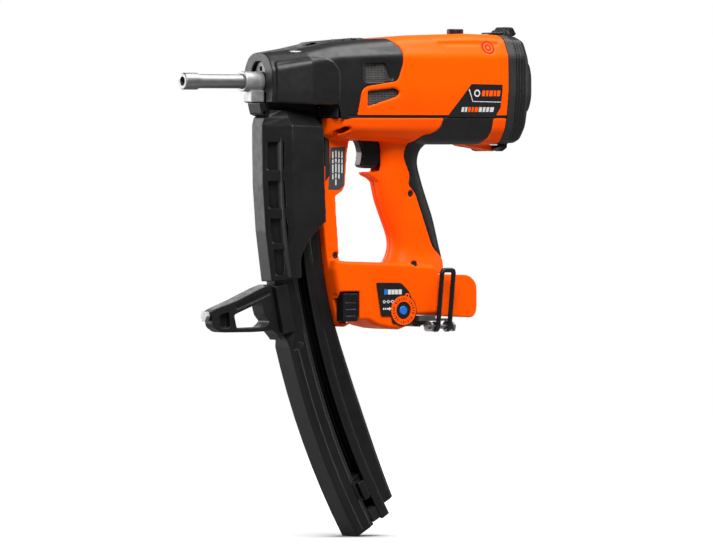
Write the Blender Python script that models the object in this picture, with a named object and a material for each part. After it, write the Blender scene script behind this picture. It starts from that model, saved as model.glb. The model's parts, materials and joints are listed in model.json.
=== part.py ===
"""Gas-driven pin nailer, at rest: every rigid piece as its own closed solid.

Sizes are millimetres in the tool frame: X runs from the muzzle to the rear cap, Z is up, and the
probe, piston and fan turn and slide on the line Y = Z = 0. The empty tool_frame moves the whole
tool so that the world origin is the middle of the grip. The operator's left side has Y below 0.
"""

import math

import bmesh
import bpy
from mathutils import Vector

MM = 0.001
GAP = 0.3  # clearance between pieces that touch
GRIP_MIDDLE = Vector((281.0, 0.0, -136.5))

# Drive line
PROBE_BORE, PROBE_RADIUS, COLLAR_RADIUS = 4.7, 7.35, 8.8
PROBE_REAR = 96.0
YOKE_X = 96.3
BORE, CYLINDER_RADIUS, SLEEVE_INNER, SLEEVE_OUTER = 25.0, 27.0, 28.0, 31.5
CYLINDER_X = (172.0, 290.0)
SLEEVE_X = (262.0, 318.0)
HEAD_X = (330.0, 344.5)
FUEL_Z, FUEL_RADIUS = -45.6, 13.5

# Body shell
SEAM_Z = -37.6
COVER_END, CAP_START = 375.0, 384.3
WALL = 3.0
PAD_DEPTH = 2.3

# Magazine: every long edge is an arc about one centre
ARC_X, ARC_Z = 895.0, -72.0
FRONT_R, SPINE_R = 800.0, 735.0

# Handle base
BASE_HALF = 28.5
DIAL = (254.7, -240.0)
FOOT_TIP_Z = -244.0

# Pivots: (X, Y, Z)
TRIGGER_PIVOT = (236.0, 0.0, -54.0)
CAP_PIVOT = (380.0, 0.0, -69.2)
LATCH_PIVOT = (399.0, 0.0, 53.5)
MAGAZINE_PIVOT = (90.0, 0.0, -37.0)
HOOK_PIVOT = (300.0, -33.0, -257.5)
BATTERY_LATCH_PIVOT = (274.0, 0.0, -249.0)
KNOB_X, KNOB_Z = 339.7, 52.2

# Nodes whose many crossing curved faces the EXACT solver leaves open
EXACT_FAILS = ("housing_left", "housing_right", "nose_shroud", "magazine_guard")

FINISHES = {
    "orange_plastic": ((1.0, 0.13, 0.004), 0.35, 0.0),
    "black_plastic": ((0.022, 0.022, 0.024), 0.45, 0.0),
    "soft_grip": ((0.018, 0.018, 0.019), 0.75, 0.0),
    "bright_steel": ((0.72, 0.72, 0.73), 0.25, 1.0),
    "cast_metal": ((0.38, 0.38, 0.39), 0.5, 1.0),
    "dark_steel": ((0.12, 0.12, 0.13), 0.4, 1.0),
    "blue_plastic": ((0.02, 0.2, 0.75), 0.35, 0.0),
    "brown_plastic": ((0.09, 0.02, 0.012), 0.3, 0.0),
    "rubber": ((0.03, 0.03, 0.03), 0.8, 0.0),
    "board_green": ((0.02, 0.16, 0.06), 0.5, 0.0),
}


# ---------------------------------------------------------------- outlines


def offset(outline, distance):
    """A closed outline moved outwards by distance, or inwards where it is negative."""
    count = len(outline)
    area = sum(
        outline[i][0] * outline[(i + 1) % count][1] - outline[(i + 1) % count][0] * outline[i][1]
        for i in range(count)
    )
    side = 1.0 if area > 0 else -1.0
    moved = []
    for i, point in enumerate(outline):
        before, here, after = Vector(outline[i - 1]), Vector(point), Vector(outline[(i + 1) % count])
        into, out = (here - before).normalized(), (after - here).normalized()
        normal = Vector((into.y + out.y, -into.x - out.x)).normalized() * side
        into_normal = Vector((into.y, -into.x)) * side
        moved.append(tuple(here + normal * (distance / max(normal.dot(into_normal), 0.35))))
    return moved


def rounded(outline, radius, steps=3):
    """The corners of a closed outline cut back to curves; radius may be a list with one value each."""
    count = len(outline)
    radii = radius if isinstance(radius, (list, tuple)) else [radius] * count
    points = []
    for i in range(count):
        before, here, after = Vector(outline[i - 1]), Vector(outline[i]), Vector(outline[(i + 1) % count])
        room = 0.49 * min((before - here).length, (after - here).length)
        reach = min(radii[i], room)
        if reach < 0.01:
            points.append(tuple(here))
            continue
        start = here + (before - here).normalized() * reach
        end = here + (after - here).normalized() * reach
        for k in range(steps + 1):
            t = k / steps
            points.append(tuple(start * (1 - t) ** 2 + here * (2 * t * (1 - t)) + end * t * t))
    return points


def circle(cx, cy, radius, steps=24, start=0.0):
    turns = [start + 2 * math.pi * k / steps for k in range(steps)]
    return [(cx + radius * math.cos(t), cy + radius * math.sin(t)) for t in turns]


def mirrored(half):
    """A half outline from top to bottom on the +Y side, closed by its mirror image."""
    return half + [(-y, z) for y, z in reversed(half)]


def on_arc(radius, degrees):
    """The (X, Z) point at this distance from the magazine's centre, this far below level."""
    turn = math.radians(degrees)
    return (ARC_X - radius * math.cos(turn), ARC_Z - radius * math.sin(turn))


def arc(radius, start, end, steps):
    return [on_arc(radius, start + (end - start) * k / steps) for k in range(steps + 1)]


def arc_angle(radius, z):
    return math.degrees(math.asin((ARC_Z - z) / radius))


# ---------------------------------------------------------------- solids


def solid(name, verts, faces, pivot=(0, 0, 0)):
    mesh = bpy.data.meshes.new(name)
    mesh.from_pydata([(Vector(v) - Vector(pivot)) * MM for v in verts], [], faces)
    work = bmesh.new()
    work.from_mesh(mesh)
    bmesh.ops.recalc_face_normals(work, faces=work.faces)
    work.to_mesh(mesh)
    work.free()
    thing = bpy.data.objects.new(name, mesh)
    bpy.context.scene.collection.objects.link(thing)
    thing.parent = tool_frame
    thing.location = Vector(pivot) * MM
    return thing


def loft(name, rings, pivot=(0, 0, 0), closed=False):
    """Skin over rings of the same number of points, with flat ends unless the loop is closed."""
    count = len(rings[0])
    verts = [point for ring in rings for point in ring]
    pairs = list(zip(range(len(rings)), range(1, len(rings))))
    faces = []
    if closed:
        pairs.append((len(rings) - 1, 0))
    else:
        faces += [list(range(count)), list(range(len(verts) - count, len(verts)))]
    for a, b in pairs:
        for i in range(count):
            j = (i + 1) % count
            faces.append((a * count + i, a * count + j, b * count + j, b * count + i))
    return solid(name, verts, faces, pivot)


def prism(name, outline, low, high, along="Y", pivot=(0, 0, 0)):
    """A flat outline carried from low to high: (X, Z) along Y, (Y, Z) along X, or (X, Y) along Z."""
    place = {
        "X": lambda p, d: (d, p[0], p[1]),
        "Y": lambda p, d: (p[0], d, p[1]),
        "Z": lambda p, d: (p[0], p[1], d),
    }[along]
    return loft(name, [[place(p, d) for p in outline] for d in (low, high)], pivot)


def block(name, x, y, z, pivot=(0, 0, 0)):
    outline = [(x[0], z[0]), (x[1], z[0]), (x[1], z[1]), (x[0], z[1])]
    return prism(name, outline, y[0], y[1], pivot=pivot)


def turned(name, profile, centre=(0, 0), along="X", steps=24, pivot=(0, 0, 0)):
    """A closed profile of (distance along, radius) turned about a line through centre."""
    place = {
        "X": lambda d, a, b: (d, centre[0] + a, centre[1] + b),
        "Y": lambda d, a, b: (centre[0] + a, d, centre[1] + b),
        "Z": lambda d, a, b: (centre[0] + a, centre[1] + b, d),
    }[along]
    verts, rows = [], []
    for distance, radius in profile:
        if radius == 0:
            rows.append([len(verts)] * steps)
            verts.append(place(distance, 0, 0))
            continue
        rows.append(list(range(len(verts), len(verts) + steps)))
        verts += [place(distance, a, b) for a, b in circle(0, 0, radius, steps, math.pi / steps)]
    faces = []
    for first, second in zip(rows, rows[1:] + rows[:1]):
        for k in range(steps):
            n = (k + 1) % steps
            face = list(dict.fromkeys([first[k], first[n], second[n], second[k]]))
            if len(face) > 2:
                faces.append(face)
    return solid(name, verts, faces, pivot)


def disc(name, radius, low, high, centre=(0, 0), along="X", steps=24, pivot=(0, 0, 0)):
    return turned(name, [(low, 0), (low, radius), (high, radius), (high, 0)], centre, along, steps, pivot)


def ring(name, inner, outer, low, high, centre=(0, 0), along="X", steps=24, pivot=(0, 0, 0)):
    profile = [(low, inner), (low, outer), (high, outer), (high, inner)]
    return turned(name, profile, centre, along, steps, pivot)


def bent_rod(name, route, radius, sides=8, closed=False, pivot=(0, 0, 0)):
    """A round rod that follows the route's points."""
    points = [Vector(p) for p in route]
    count = len(points)
    side = None
    rings = []
    for i, point in enumerate(points):
        after = points[(i + 1) % count] if closed or i < count - 1 else point
        before = points[i - 1] if closed or i > 0 else point
        along = (after - before).normalized()
        if side is None:
            side = along.orthogonal().normalized()
        side = (side - along * side.dot(along)).normalized()
        other = along.cross(side)
        turns = [2 * math.pi * k / sides for k in range(sides)]
        rings.append([point + (side * math.cos(t) + other * math.sin(t)) * radius for t in turns])
    return loft(name, rings, pivot, closed)


def combine(target, tool, operation):
    step = target.modifiers.new(operation.title(), "BOOLEAN")
    step.operation = operation
    step.solver = "MANIFOLD" if target.name in EXACT_FAILS else "EXACT"
    step.object = tool
    tool.hide_render = True
    tool.display_type = "WIRE"
    return target


def cut(target, *tools):
    for tool in tools:
        combine(target, tool, "DIFFERENCE")
    return target


def fuse(target, *tools):
    for tool in tools:
        combine(target, tool, "UNION")
    return target


def keep(target, *tools):
    for tool in tools:
        combine(target, tool, "INTERSECT")
    return target


def finish(thing, name, smooth=False):
    material = bpy.data.materials.get(name)
    if material is None:
        colour, roughness, metallic = FINISHES[name]
        material = bpy.data.materials.new(name)
        material.use_nodes = True
        shader = material.node_tree.nodes["Principled BSDF"]
        shader.inputs["Base Color"].default_value = (*colour, 1.0)
        shader.inputs["Roughness"].default_value = roughness
        shader.inputs["Metallic"].default_value = metallic
        material.diffuse_color = (*colour, 1.0)
    thing.data.materials.append(material)
    if smooth:
        thing.data.shade_smooth()
        thing.data.set_sharp_from_angle(angle=math.radians(35))
    return thing


# ---------------------------------------------------------------- body shell

# X, then the five corners of the upper half section from the top flat to the seam, as (Y, Z)
UPPER = (
    (93, (9, 30), (20, 25), (27.5, 12), (28, -12), (27, -22)),
    (130, (20, 37), (35, 31), (46, 20), (46.5, -12), (45, -24)),
    (163, (24, 41), (38, 37), (49, 25), (49.5, -12), (46.5, -25)),
    (166, (24, 41.3), (38, 37.2), (49, 25), (49.5, -12), (46, SEAM_Z)),
    (190, (27, 43.5), (39, 39.5), (50, 26), (50, -12), (46, SEAM_Z)),
    (240, (30, 46.5), (40, 43), (50, 27), (50, -12), (46, SEAM_Z)),
    (292, (30, 50), (40, 46), (50, 27.5), (50, -12), (46, SEAM_Z)),
    (335, (30, 51.5), (40, 47), (50, 27.5), (50, -12), (46, SEAM_Z)),
    (COVER_END, (28, 50.5), (40, 46), (49.5, 27.5), (50, -12), (46, SEAM_Z)),
)
# X, then the corners of the lower half section from the seam to the underside
LOWER = (
    (161.5, (25, -48), (22, -55), (17, -57)),
    (172, (42, -48), (33, -56), (25, -58.5)),
    (190, (43, -50), (32, -58.5), (24, -60.5)),
    (250, (43, -50), (33, -60.5), (25, -63)),
    (300, (43, -50), (34, -62.5), (26, -65.6)),
    (COVER_END, (43, -50), (33, -63), (26, -65.6)),
)
TOP_HALF = {161.5: 26.0, 172: 44.0}  # the seam's half width where the housing starts


def upper_ring(row, inset=0.0, floor=None):
    x, corners = row[0], [tuple(c) for c in row[1:]]
    outline = mirrored(corners)
    if inset:
        outline = offset(outline, -inset)
    if floor is not None:
        last = len(corners)
        outline[last - 1] = (outline[last - 1][0], floor)
        outline[last] = (outline[last][0], floor)
    return [(x, y, z) for y, z in rounded(outline, [4, 6, 6, 9, 1.2, 1.2, 9, 6, 6, 4], 2)]


def upper_loft(name, inset=0.0, floor=None, rows=UPPER, ends=(0, 0)):
    rings = [upper_ring(row, inset, floor) for row in rows]
    rings[0] = [(x - ends[0], y, z) for x, y, z in rings[0]]
    rings[-1] = [(x + ends[1], y, z) for x, y, z in rings[-1]]
    return loft(name, rings)


def lower_ring(row, inset=0.0, lid=SEAM_Z - GAP):
    x, corners = row[0], [tuple(c) for c in row[1:]]
    seam = (TOP_HALF.get(x, 46.0), SEAM_Z - GAP)
    outline = mirrored([seam] + corners)
    if inset:
        outline = offset(outline, -inset)
        (top_y, top_z), (side_y, side_z) = outline[:2]
        reach = side_y + (top_y - side_y) * (lid - side_z) / (top_z - side_z)
        outline[0], outline[-1] = (reach, lid), (-reach, lid)
    radii = [0, 4, 5, 3, 3, 5, 4, 0]
    return [(x, y, z) for y, z in rounded(outline, radii, 2)]


def lower_loft(name, inset=0.0, lid=SEAM_Z - GAP, ends=(0, 0)):
    rings = [lower_ring(row, inset, lid) for row in LOWER]
    rings[0] = [(x - ends[0], y, z) for x, y, z in rings[0]]
    rings[-1] = [(x + ends[1], y, z) for x, y, z in rings[-1]]
    return loft(name, rings)


# Front part of the shell against the rear part, seen from the side
SHROUD_EDGE = rounded(
    [
        (60, 80), (238, 80), (238, 44), (241, 34), (240, 20), (234, 1), (196, -4.5),
        (190, -9), (188, -22), (181.5, -60), (60, -60),
    ],
    [0, 0, 3, 3, 3, 5, 4, 3, 2, 0, 0],
    2,
)
WINDOW_UPPER = rounded([(195, 18.5), (220, 20), (227, 3.5), (222, 2), (195, 2)], [2, 3, 2, 2, 2])
WINDOW_LOWER = rounded([(198, -10), (232, -6.5), (238, -11), (235, -15), (199, -25.5)], [2, 3, 3, 3, 2])


def shell_halves():
    """The upper shell as a tube closed in front, before it is parted into shroud and cover."""
    shell = upper_loft("helper_upper_shell")
    cavity = upper_loft("helper_upper_cavity", WALL, -80, ends=(-WALL, 10))
    return cut(shell, cavity)


def side_panels():
    """Two flat pads that stand proud on the sides of the shroud."""
    pad = upper_loft("helper_panel_skin", -1.6, rows=UPPER[:4], ends=(0, 0))
    panel = [(97, -21), (97, 20), (129, 25.5), (152, 23), (162, 12), (162, -22.6), (130, -22)]
    keep(pad, prism("helper_panel_side", rounded(panel, [1, 3, 4, 8, 8, 2, 1]), -70, 70))
    return cut(pad, upper_loft("helper_panel_inner", 1.0, rows=UPPER[:4], ends=(-2, -1)))


def nose_shroud():
    shroud = keep(upper_loft("nose_shroud"), prism("helper_shroud_edge", SHROUD_EDGE, -70, 70))
    fuse(shroud, side_panels())
    rib = prism("helper_rib", [(118, 30), (124, 37.6), (150, 41.6), (152, 43.6), (214, 46.6), (232, 43),
                               (232, 38)],
                -11, 11)
    fuse(shroud, rib)
    cut(shroud, upper_loft("helper_shroud_cavity", WALL, -80, ends=(-WALL, 10)))
    window = [(-15, -30), (-15, 6), (-11, 16), (-5, 21), (5, 21), (11, 16), (15, 6), (15, -30)]
    cut(shroud, prism("helper_front_window", rounded(window, 3, 2), 80, 99, "X"))
    cut(shroud, prism("helper_side_window", WINDOW_UPPER, -70, 70))
    cut(shroud, block("helper_through_slot", (134, 146), (-30, 30), (35.2, 37.6)))
    for index, (start, end) in enumerate(((156, 170), (180, 191), (202, 213))):
        cut(shroud, block(f"helper_top_pocket_{index}", (start, end), (-6, 6), (42.2, 60)))
    cut(shroud, disc("helper_pin_hole_front", 1.9, 30, 60, (186, 0), "Z", 12))
    cut(shroud, disc("helper_pin_hole_rear", 1.9, 30, 60, (208, 0), "Z", 12))
    return finish(shroud, "black_plastic")


def upper_cover():
    cover = cut(shell_halves(), prism("helper_cover_edge", offset(SHROUD_EDGE, GAP), -70, 70))
    cover.name = "upper_cover"
    cut(cover, prism("helper_side_slot", WINDOW_LOWER, -70, 70))
    cut(cover, disc("helper_knob_recess", 10.2, 48.9, 70, (KNOB_X, 0), "Z", 20))
    cut(cover, disc("helper_knob_hole", 3.3, 30, 70, (KNOB_X, 0), "Z", 12))
    fuse(cover, block("helper_spring_rib", (255, 258), (-7, 7), (31.7, 46.5)))
    return finish(cover, "orange_plastic")


def full_outline(scale=1.0, inset=0.0):
    """The whole section at the rear of the body, as (Y, Z)."""
    half = [tuple(c) for c in UPPER[-1][1:5]] + [(46, -37.6)] + [tuple(c) for c in LOWER[-1][1:]]
    outline = mirrored(half)
    if inset:
        outline = offset(outline, -inset)
    outline = rounded(outline, 4, 2)
    middle = -7.5
    return [(y * scale, middle + (z - middle) * scale) for y, z in outline]


def rear_gasket():
    gasket = prism("rear_gasket", full_outline(), COVER_END + GAP, CAP_START - GAP, "X")
    return finish(cut(gasket, prism("helper_gasket_hole", full_outline(inset=6), 370, 390, "X")), "rubber")


def rear_cap():
    rings = ((CAP_START, 0.985), (397, 0.975), (401.5, 0.94), (404, 0.88))
    cap = loft("rear_cap", [[(x, y, z) for y, z in full_outline(s)] for x, s in rings], CAP_PIVOT)
    bulge = [(34, 26), (40, 12), (40, -20), (32, -36)]
    outline = rounded(mirrored(bulge), 9, 2)
    steps = ((400, 1.0), (408, 0.97), (413, 0.9), (416, 0.8))
    fuse(cap, loft("helper_cap_bulge", [[(x, y * s, -5 + (z + 5) * s) for y, z in outline] for x,
                                        s in steps]))
    cut(cap, prism("helper_cap_cavity", full_outline(inset=6.5), 380, 397, "X"))
    cut(cap, block("helper_latch_recess", (392, 412), (-9.6, 9.6), (45.5, 60)))
    for side in (-1, 1):
        low, high = sorted((side * 9.6, side * 13))
        ear = [(393, 44), (393.5, 53), (396, 56.5), (402, 56.5), (404, 53), (404, 40)]
        fuse(cap, prism(f"helper_latch_ear_{side}", rounded(ear, 2, 2), low, high))
    cut(cap, disc("helper_latch_pin_hole", 2.1, -20, 20, (LATCH_PIVOT[0], LATCH_PIVOT[2]), "Y", 12))
    for index, (low, high) in enumerate(((-26, -14), (14, 26))):
        knuckle = [(377.5, -71.5), (377.5, -68), (380, -66.3), (384.6, -66.2), (386, -62), (390, -60),
                   (389, -69),
                   (383, -73)]
        fuse(cap, prism(f"helper_cap_knuckle_{index}", rounded(knuckle, 1, 2), low, high))
    cut(cap, disc("helper_cap_pin_hole", 1.6, -30, 30, (CAP_PIVOT[0], CAP_PIVOT[2]), "Y", 12))
    return finish(cap, "black_plastic", smooth=True)


def cap_latch():
    outline = [(378.5, 51.6), (379.5, 55), (390, 57.6), (398, 59.5), (409, 58.2), (415.5, 55), (415.5, 50.5),
               (409, 49.3), (396, 49), (387, 51.6)]
    latch = prism("cap_latch", rounded(outline, [0.5, 1.5, 3, 3, 3, 2, 1.5, 2, 2, 1]), -9.2, 9.2,
                  pivot=LATCH_PIVOT)
    for index in range(4):
        cut(latch, block(f"helper_latch_groove_{index}", (401 + 3 * index, 402.3 + 3 * index), (-12, 12),
                         (57.8, 62)))
    cut(latch, disc("helper_latch_bore", 2.1, -20, 20, (LATCH_PIVOT[0], LATCH_PIVOT[2]), "Y", 12))
    return finish(latch, "black_plastic")


# ---------------------------------------------------------------- handle

# Z, front X, rear X, half width
GRIP = (
    (-48, 232, 312, 24), (-60, 236, 304, 23), (-66, 237, 296, 20.5), (-73, 238, 289.5, 18.5),
    (-85, 238, 287, 17.5), (-100, 235.5, 291, 17.5), (-113, 237.5, 295.5, 17.5), (-126, 241, 300.5, 17.5),
    (-142, 247.5, 306.5, 17.5), (-160, 255, 311.5, 17.5), (-172, 257, 314.5, 18), (-182, 255, 317, 19.5),
    (-191, 251, 318.5, 23), (-202, 245, 318, 26.5),
)
PAD = [
    (297, -30), (359, -30), (357.5, -58), (352, -62), (349, -80), (340, -200), (325, -196), (316, -186),
    (301, -175), (278.5, -116), (269.5, -108), (272, -98), (267, -87), (263, -77), (265.5, -66),
    (270, -59.5), (276, -55.5), (282, -55.5), (288, -52.3), (294, -46),
]
PAD_RADII = [0, 0, 3, 2, 2, 0, 4, 2, 6, 6, 3, 4, 5, 5, 5, 4, 4, 4, 4, 3]
HAND_SIDE = [(197, -56), (193.5, -75), (191, -108), (188, -114), (179, -119.5), (180, -138), (182, -163),
             (185, -204)]


def grip_loft(name, inset=0.0, ends=(0, 0)):
    rings = []
    for z, front, rear, half in GRIP:
        middle, depth, width = (front + rear) / 2, (rear - front) / 2 - inset, half - inset
        turns = [2 * math.pi * k / 20 for k in range(20)]
        rings.append([
            (
                middle + depth * math.copysign(abs(math.cos(t)) ** 0.75, math.cos(t)),
                width * math.copysign(abs(math.sin(t)) ** 0.75, math.sin(t)),
                z,
            )
            for t in turns
        ])
    rings[0] = [(x, y, z + ends[0]) for x, y, z in rings[0]]
    rings[-1] = [(x, y, z - ends[1]) for x, y, z in rings[-1]]
    return loft(name, rings)


def base_outline(inset=0.0):
    points = arc(SPINE_R, arc_angle(SPINE_R, -196), arc_angle(SPINE_R, -257), 3)
    points += [(190, -254), (197, -250.5), (213, -250.5), (224, -256), (238, -259), (252, -260.3),
               (262, -257),
               (270, -245.5), (298, -244.5), (301, -240), (301, -198), (297, -193.5), (250, -190), (186,
                                                                                                    -188),
               (171.5, -186)]
    return offset(points, -inset) if inset else points


def spine_outline():
    points = arc(SPINE_R, arc_angle(SPINE_R, -89), arc_angle(SPINE_R, -200), 8)
    return points + [tuple(p) for p in reversed(HAND_SIDE)] + [(166.5, -50), (166.5, -88.6)]


def base_prism(name, inset=0.0):
    """The base with its long edges cut back in two steps."""
    rings = []
    for y, shrink in ((-BASE_HALF, 5.0), (-BASE_HALF + 1.6, 1.8), (-BASE_HALF + 5, 0), (BASE_HALF - 5, 0),
                      (BASE_HALF - 1.6, 1.8), (BASE_HALF, 5.0)):
        reach = y - math.copysign(inset, y)
        rings.append([(x, reach, z) for x, z in base_outline(inset + shrink * 0.6)])
    return loft(name, rings)


def housing_body():
    """Both halves of the handle in one piece, hollow, before they are parted at Y = 0."""
    whole = lower_loft("helper_housing")
    fuse(whole, grip_loft("helper_grip"))
    cut(whole, prism("helper_pad_recess", offset(rounded(PAD, PAD_RADII, 2), GAP), -80, 80))
    fuse(whole, lower_loft("helper_lower_core", PAD_DEPTH + GAP, SEAM_Z - 0.5, ends=(-2, -1)))
    fuse(whole, grip_loft("helper_grip_core", PAD_DEPTH + GAP, ends=(-2, 0)))
    fuse(whole, base_prism("helper_base"))
    fuse(whole, prism("helper_spine", spine_outline(), -15.5, 15.5))
    ledge = [(222.5, -94.6), (244, -94.0), (246, -105), (238, -106), (233.5, -101.5), (225, -98)]
    fuse(whole, prism("helper_ledge", rounded(ledge, [2, 1, 1, 3, 3, 2], 2), -9.5, 9.5))
    cut(whole, lower_loft("helper_lower_cavity", 5.2, 20, ends=(-5, 10)))
    cut(whole, block("helper_dock_bay", (150, 166.4), (-14.4, 14.4), (-90, -30)))
    cut(whole, grip_loft("helper_grip_cavity", 5.4, ends=(10, 4)))
    cut(whole, block("helper_base_bay", (189, 256), (-25, 25), (-247, -194)))
    cut(whole, block("helper_battery_bay", (250, 310), (-21.5, 21.5), (-241, -202.5)))
    trigger_slot = [(206, -50), (206, -62), (214, -76), (214, -93.6), (240, -93.6), (262, -80), (262, -50)]
    cut(whole, prism("helper_trigger_slot", trigger_slot, -7.8, 7.8))
    cut(whole, block("helper_release_bay", (177.5, 197), (-40, -14), (-251.5, -221)))
    cut(whole, disc("helper_button_bay", 9.6, -40, -20, DIAL, "Y", 20))
    teardrop = rounded([(166, -53), (173, -47), (180, -46.5), (183, -49.5), (178, -53), (169, -55.5)], 2, 2)
    cut(whole, prism("helper_teardrop_left", teardrop, -60, -29))
    cut(whole, prism("helper_teardrop_right", teardrop, 29, 60))
    cut(whole, disc("helper_trigger_pin_hole", 2.3, -16, 16, (TRIGGER_PIVOT[0], TRIGGER_PIVOT[2]), "Y", 12))
    hinge_boss = rounded([(366, -64.5), (373, -64.5), (375, -66.2), (384, -66.2), (384.5, -70.5), (381, -73),
                          (375, -72), (368, -67.5)], 1, 2)
    fuse(whole, prism("helper_hinge_boss", hinge_boss, -12.6, 12.6))
    cut(whole, disc("helper_hinge_hole", 1.9, -20, 20, (CAP_PIVOT[0], CAP_PIVOT[2]), "Y", 12))
    return whole


SCREWS = {
    "housing_screw_spine": (179.3, -181.6, 15.5),
    "housing_screw_base": (273.0, -191.0, 24.0),
    "housing_screw_grip": (272.5, -117.5, 16.5),
}


def housing_side(name, side, body):
    low, high = sorted((side * GAP / 2, side * 90))
    half = keep(block(name, (120, 420), (low, high), (-300, -20)), body)
    for screw, (x, z, head) in SCREWS.items():
        cut(half, disc(f"helper_{name}_{screw}", 1.9, -60, 60, (x, z), "Y", 10))
        cut(half, disc(f"helper_{name}_{screw}_head", 3.7, -60, 3.5 - head, (x, z), "Y", 12))
    if side < 0:
        cut(half, disc("helper_wire_hole", 4.0, -214, -180, (284, -7), "Z", 12))
    return finish(half, "orange_plastic")


def housing_screw(name):
    x, z, head = SCREWS[name]
    profile = [(1.2 - head, 0), (1.2 - head, 3.4), (3.2 - head, 3.4), (3.2 - head, 1.5), (head - 4, 1.5),
               (head - 4, 0)]
    screw = turned(name, profile, (x, z), "Y", 12)
    return finish(cut(screw, disc(f"helper_{name}_socket", 1.5, -head, 2.4 - head, (x, z), "Y", 6)),
                  "dark_steel")


def grip_pad(name, side):
    low, high = sorted((side * GAP / 2, side * 90))
    pad = keep(block(name, (240, 380), (low, high), (-210, -20)), pad_skin)
    return finish(pad, "soft_grip")


def pad_body():
    skin = fuse(lower_loft("helper_pad_skin"), grip_loft("helper_pad_grip"))
    keep(skin, prism("helper_pad_region", rounded(PAD, PAD_RADII, 2), -80, 80))
    cut(skin, lower_loft("helper_pad_lower_core", PAD_DEPTH, 20, ends=(5, 5)))
    cut(skin, grip_loft("helper_pad_grip_core", PAD_DEPTH, ends=(5, 0)))
    skin.hide_render = True
    skin.display_type = "WIRE"
    return skin


def trigger():
    outline = [
        (208, -56), (212, -59), (216.5, -67), (218.5, -75), (217.5, -82), (216, -87.2), (218.5, -89.8),
        (226, -90.7), (236, -90.7), (241, -84), (246, -72), (248, -58), (244, -48.5), (230, -47.5), (212,
                                                                                                     -52),
    ]
    blade = prism("trigger", rounded(outline, 2.5, 2), -7.4, 7.4, pivot=TRIGGER_PIVOT)
    cut(blade, disc("helper_trigger_bore", 2.3, -20, 20, (TRIGGER_PIVOT[0], TRIGGER_PIVOT[2]), "Y", 12))
    return finish(blade, "black_plastic")


def trigger_group():
    centre = (TRIGGER_PIVOT[0], TRIGGER_PIVOT[2])
    finish(disc("trigger_pin", 2.0, -13, 13, centre, "Y", 12), "bright_steel", smooth=True)
    switch = block("trigger_switch", (258, 272), (-7, 7), (-80, -60))
    finish(cut(switch, disc("helper_plunger_bore", 2.3, 250, 268, (0, -70), "X", 12)), "black_plastic")
    finish(disc("switch_plunger", 2.0, 246.9, 263.5, (0, -70), "X", 12), "bright_steel", smooth=True)
    coil = spring_route((248.3, 0, -62.0), (257.0, 0, -62.0), 1.7, 4)
    finish(bent_rod("trigger_spring", coil, 0.45, 5), "bright_steel", smooth=True)


def spring_route(start, end, radius, turns):
    """Points of a coil along X, with its two ends a little flattened."""
    count = turns * 8
    points = []
    for k in range(count + 1):
        t = 2 * math.pi * k / 8
        share = min(max((k - 4) / (count - 8), 0.0), 1.0)
        lift = 0.12 * (k - count / 2) / count
        points.append((start[0] + (end[0] - start[0]) * share + lift, start[1] + radius * math.cos(t),
                       start[2] + radius * math.sin(t)))
    return points


def control_panel():
    outline = [(221, -210.5), (252, -211), (262, -220), (268, -233), (268.5, -240), (262, -254), (241, -254),
               (240, -246), (227, -246)]
    panel = prism("control_panel", rounded(outline, [2, 3, 4, 3, 3, 5, 3, 1, 2]), -29.6, -BASE_HALF - GAP)
    cut(panel, disc("helper_dial_seat", 15.8, -40, -20, DIAL, "Y", 28))
    finish(panel, "black_plastic")
    finish(ring("dial_bezel", 9.3, 15.5, -30.4, -BASE_HALF - GAP, DIAL, "Y", 28), "orange_plastic",
           smooth=True)
    profile = [(-30.6, 0), (-30.6, 4.2), (-30.0, 4.6), (-29.4, 4.6), (-29.4, 8.9), (-24.5, 8.9), (-24.5, 0)]
    finish(turned("level_button", profile, DIAL, "Y", 20, (DIAL[0], 0, DIAL[1])), "blue_plastic", smooth=True)


def battery():
    inner = block("battery_pack", (262.5, 302), (-21, 21), (-240.6, -203))
    outer = rounded([(301.4, -202.6), (343, -203.5), (353, -212), (353, -242), (348, -248.8), (301.4, -246)],
                    [1, 6, 8, 5, 4, 2], 3)
    fuse(inner, prism("helper_battery_outer", outer, -22, 22))
    cut(inner, block("helper_battery_groove", (306, 309), (-30, 30), (-206.5, -195)))
    finish(inner, "orange_plastic")
    outline = rounded([(270.5, -250.5), (273, -246.2), (292, -246.2), (293.5, -250), (286, -258),
                       (276, -257.5)], 2, 2)
    latch = prism("battery_latch", outline, -17, 17, pivot=BATTERY_LATCH_PIVOT)
    for index in range(3):
        cut(latch, block(f"helper_battery_latch_groove_{index}", (289 - 4 * index, 290.6 - 4 * index),
                         (-20, 20), (-262, -254.6 - 0.5 * index)))
    finish(latch, "brown_plastic")


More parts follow.
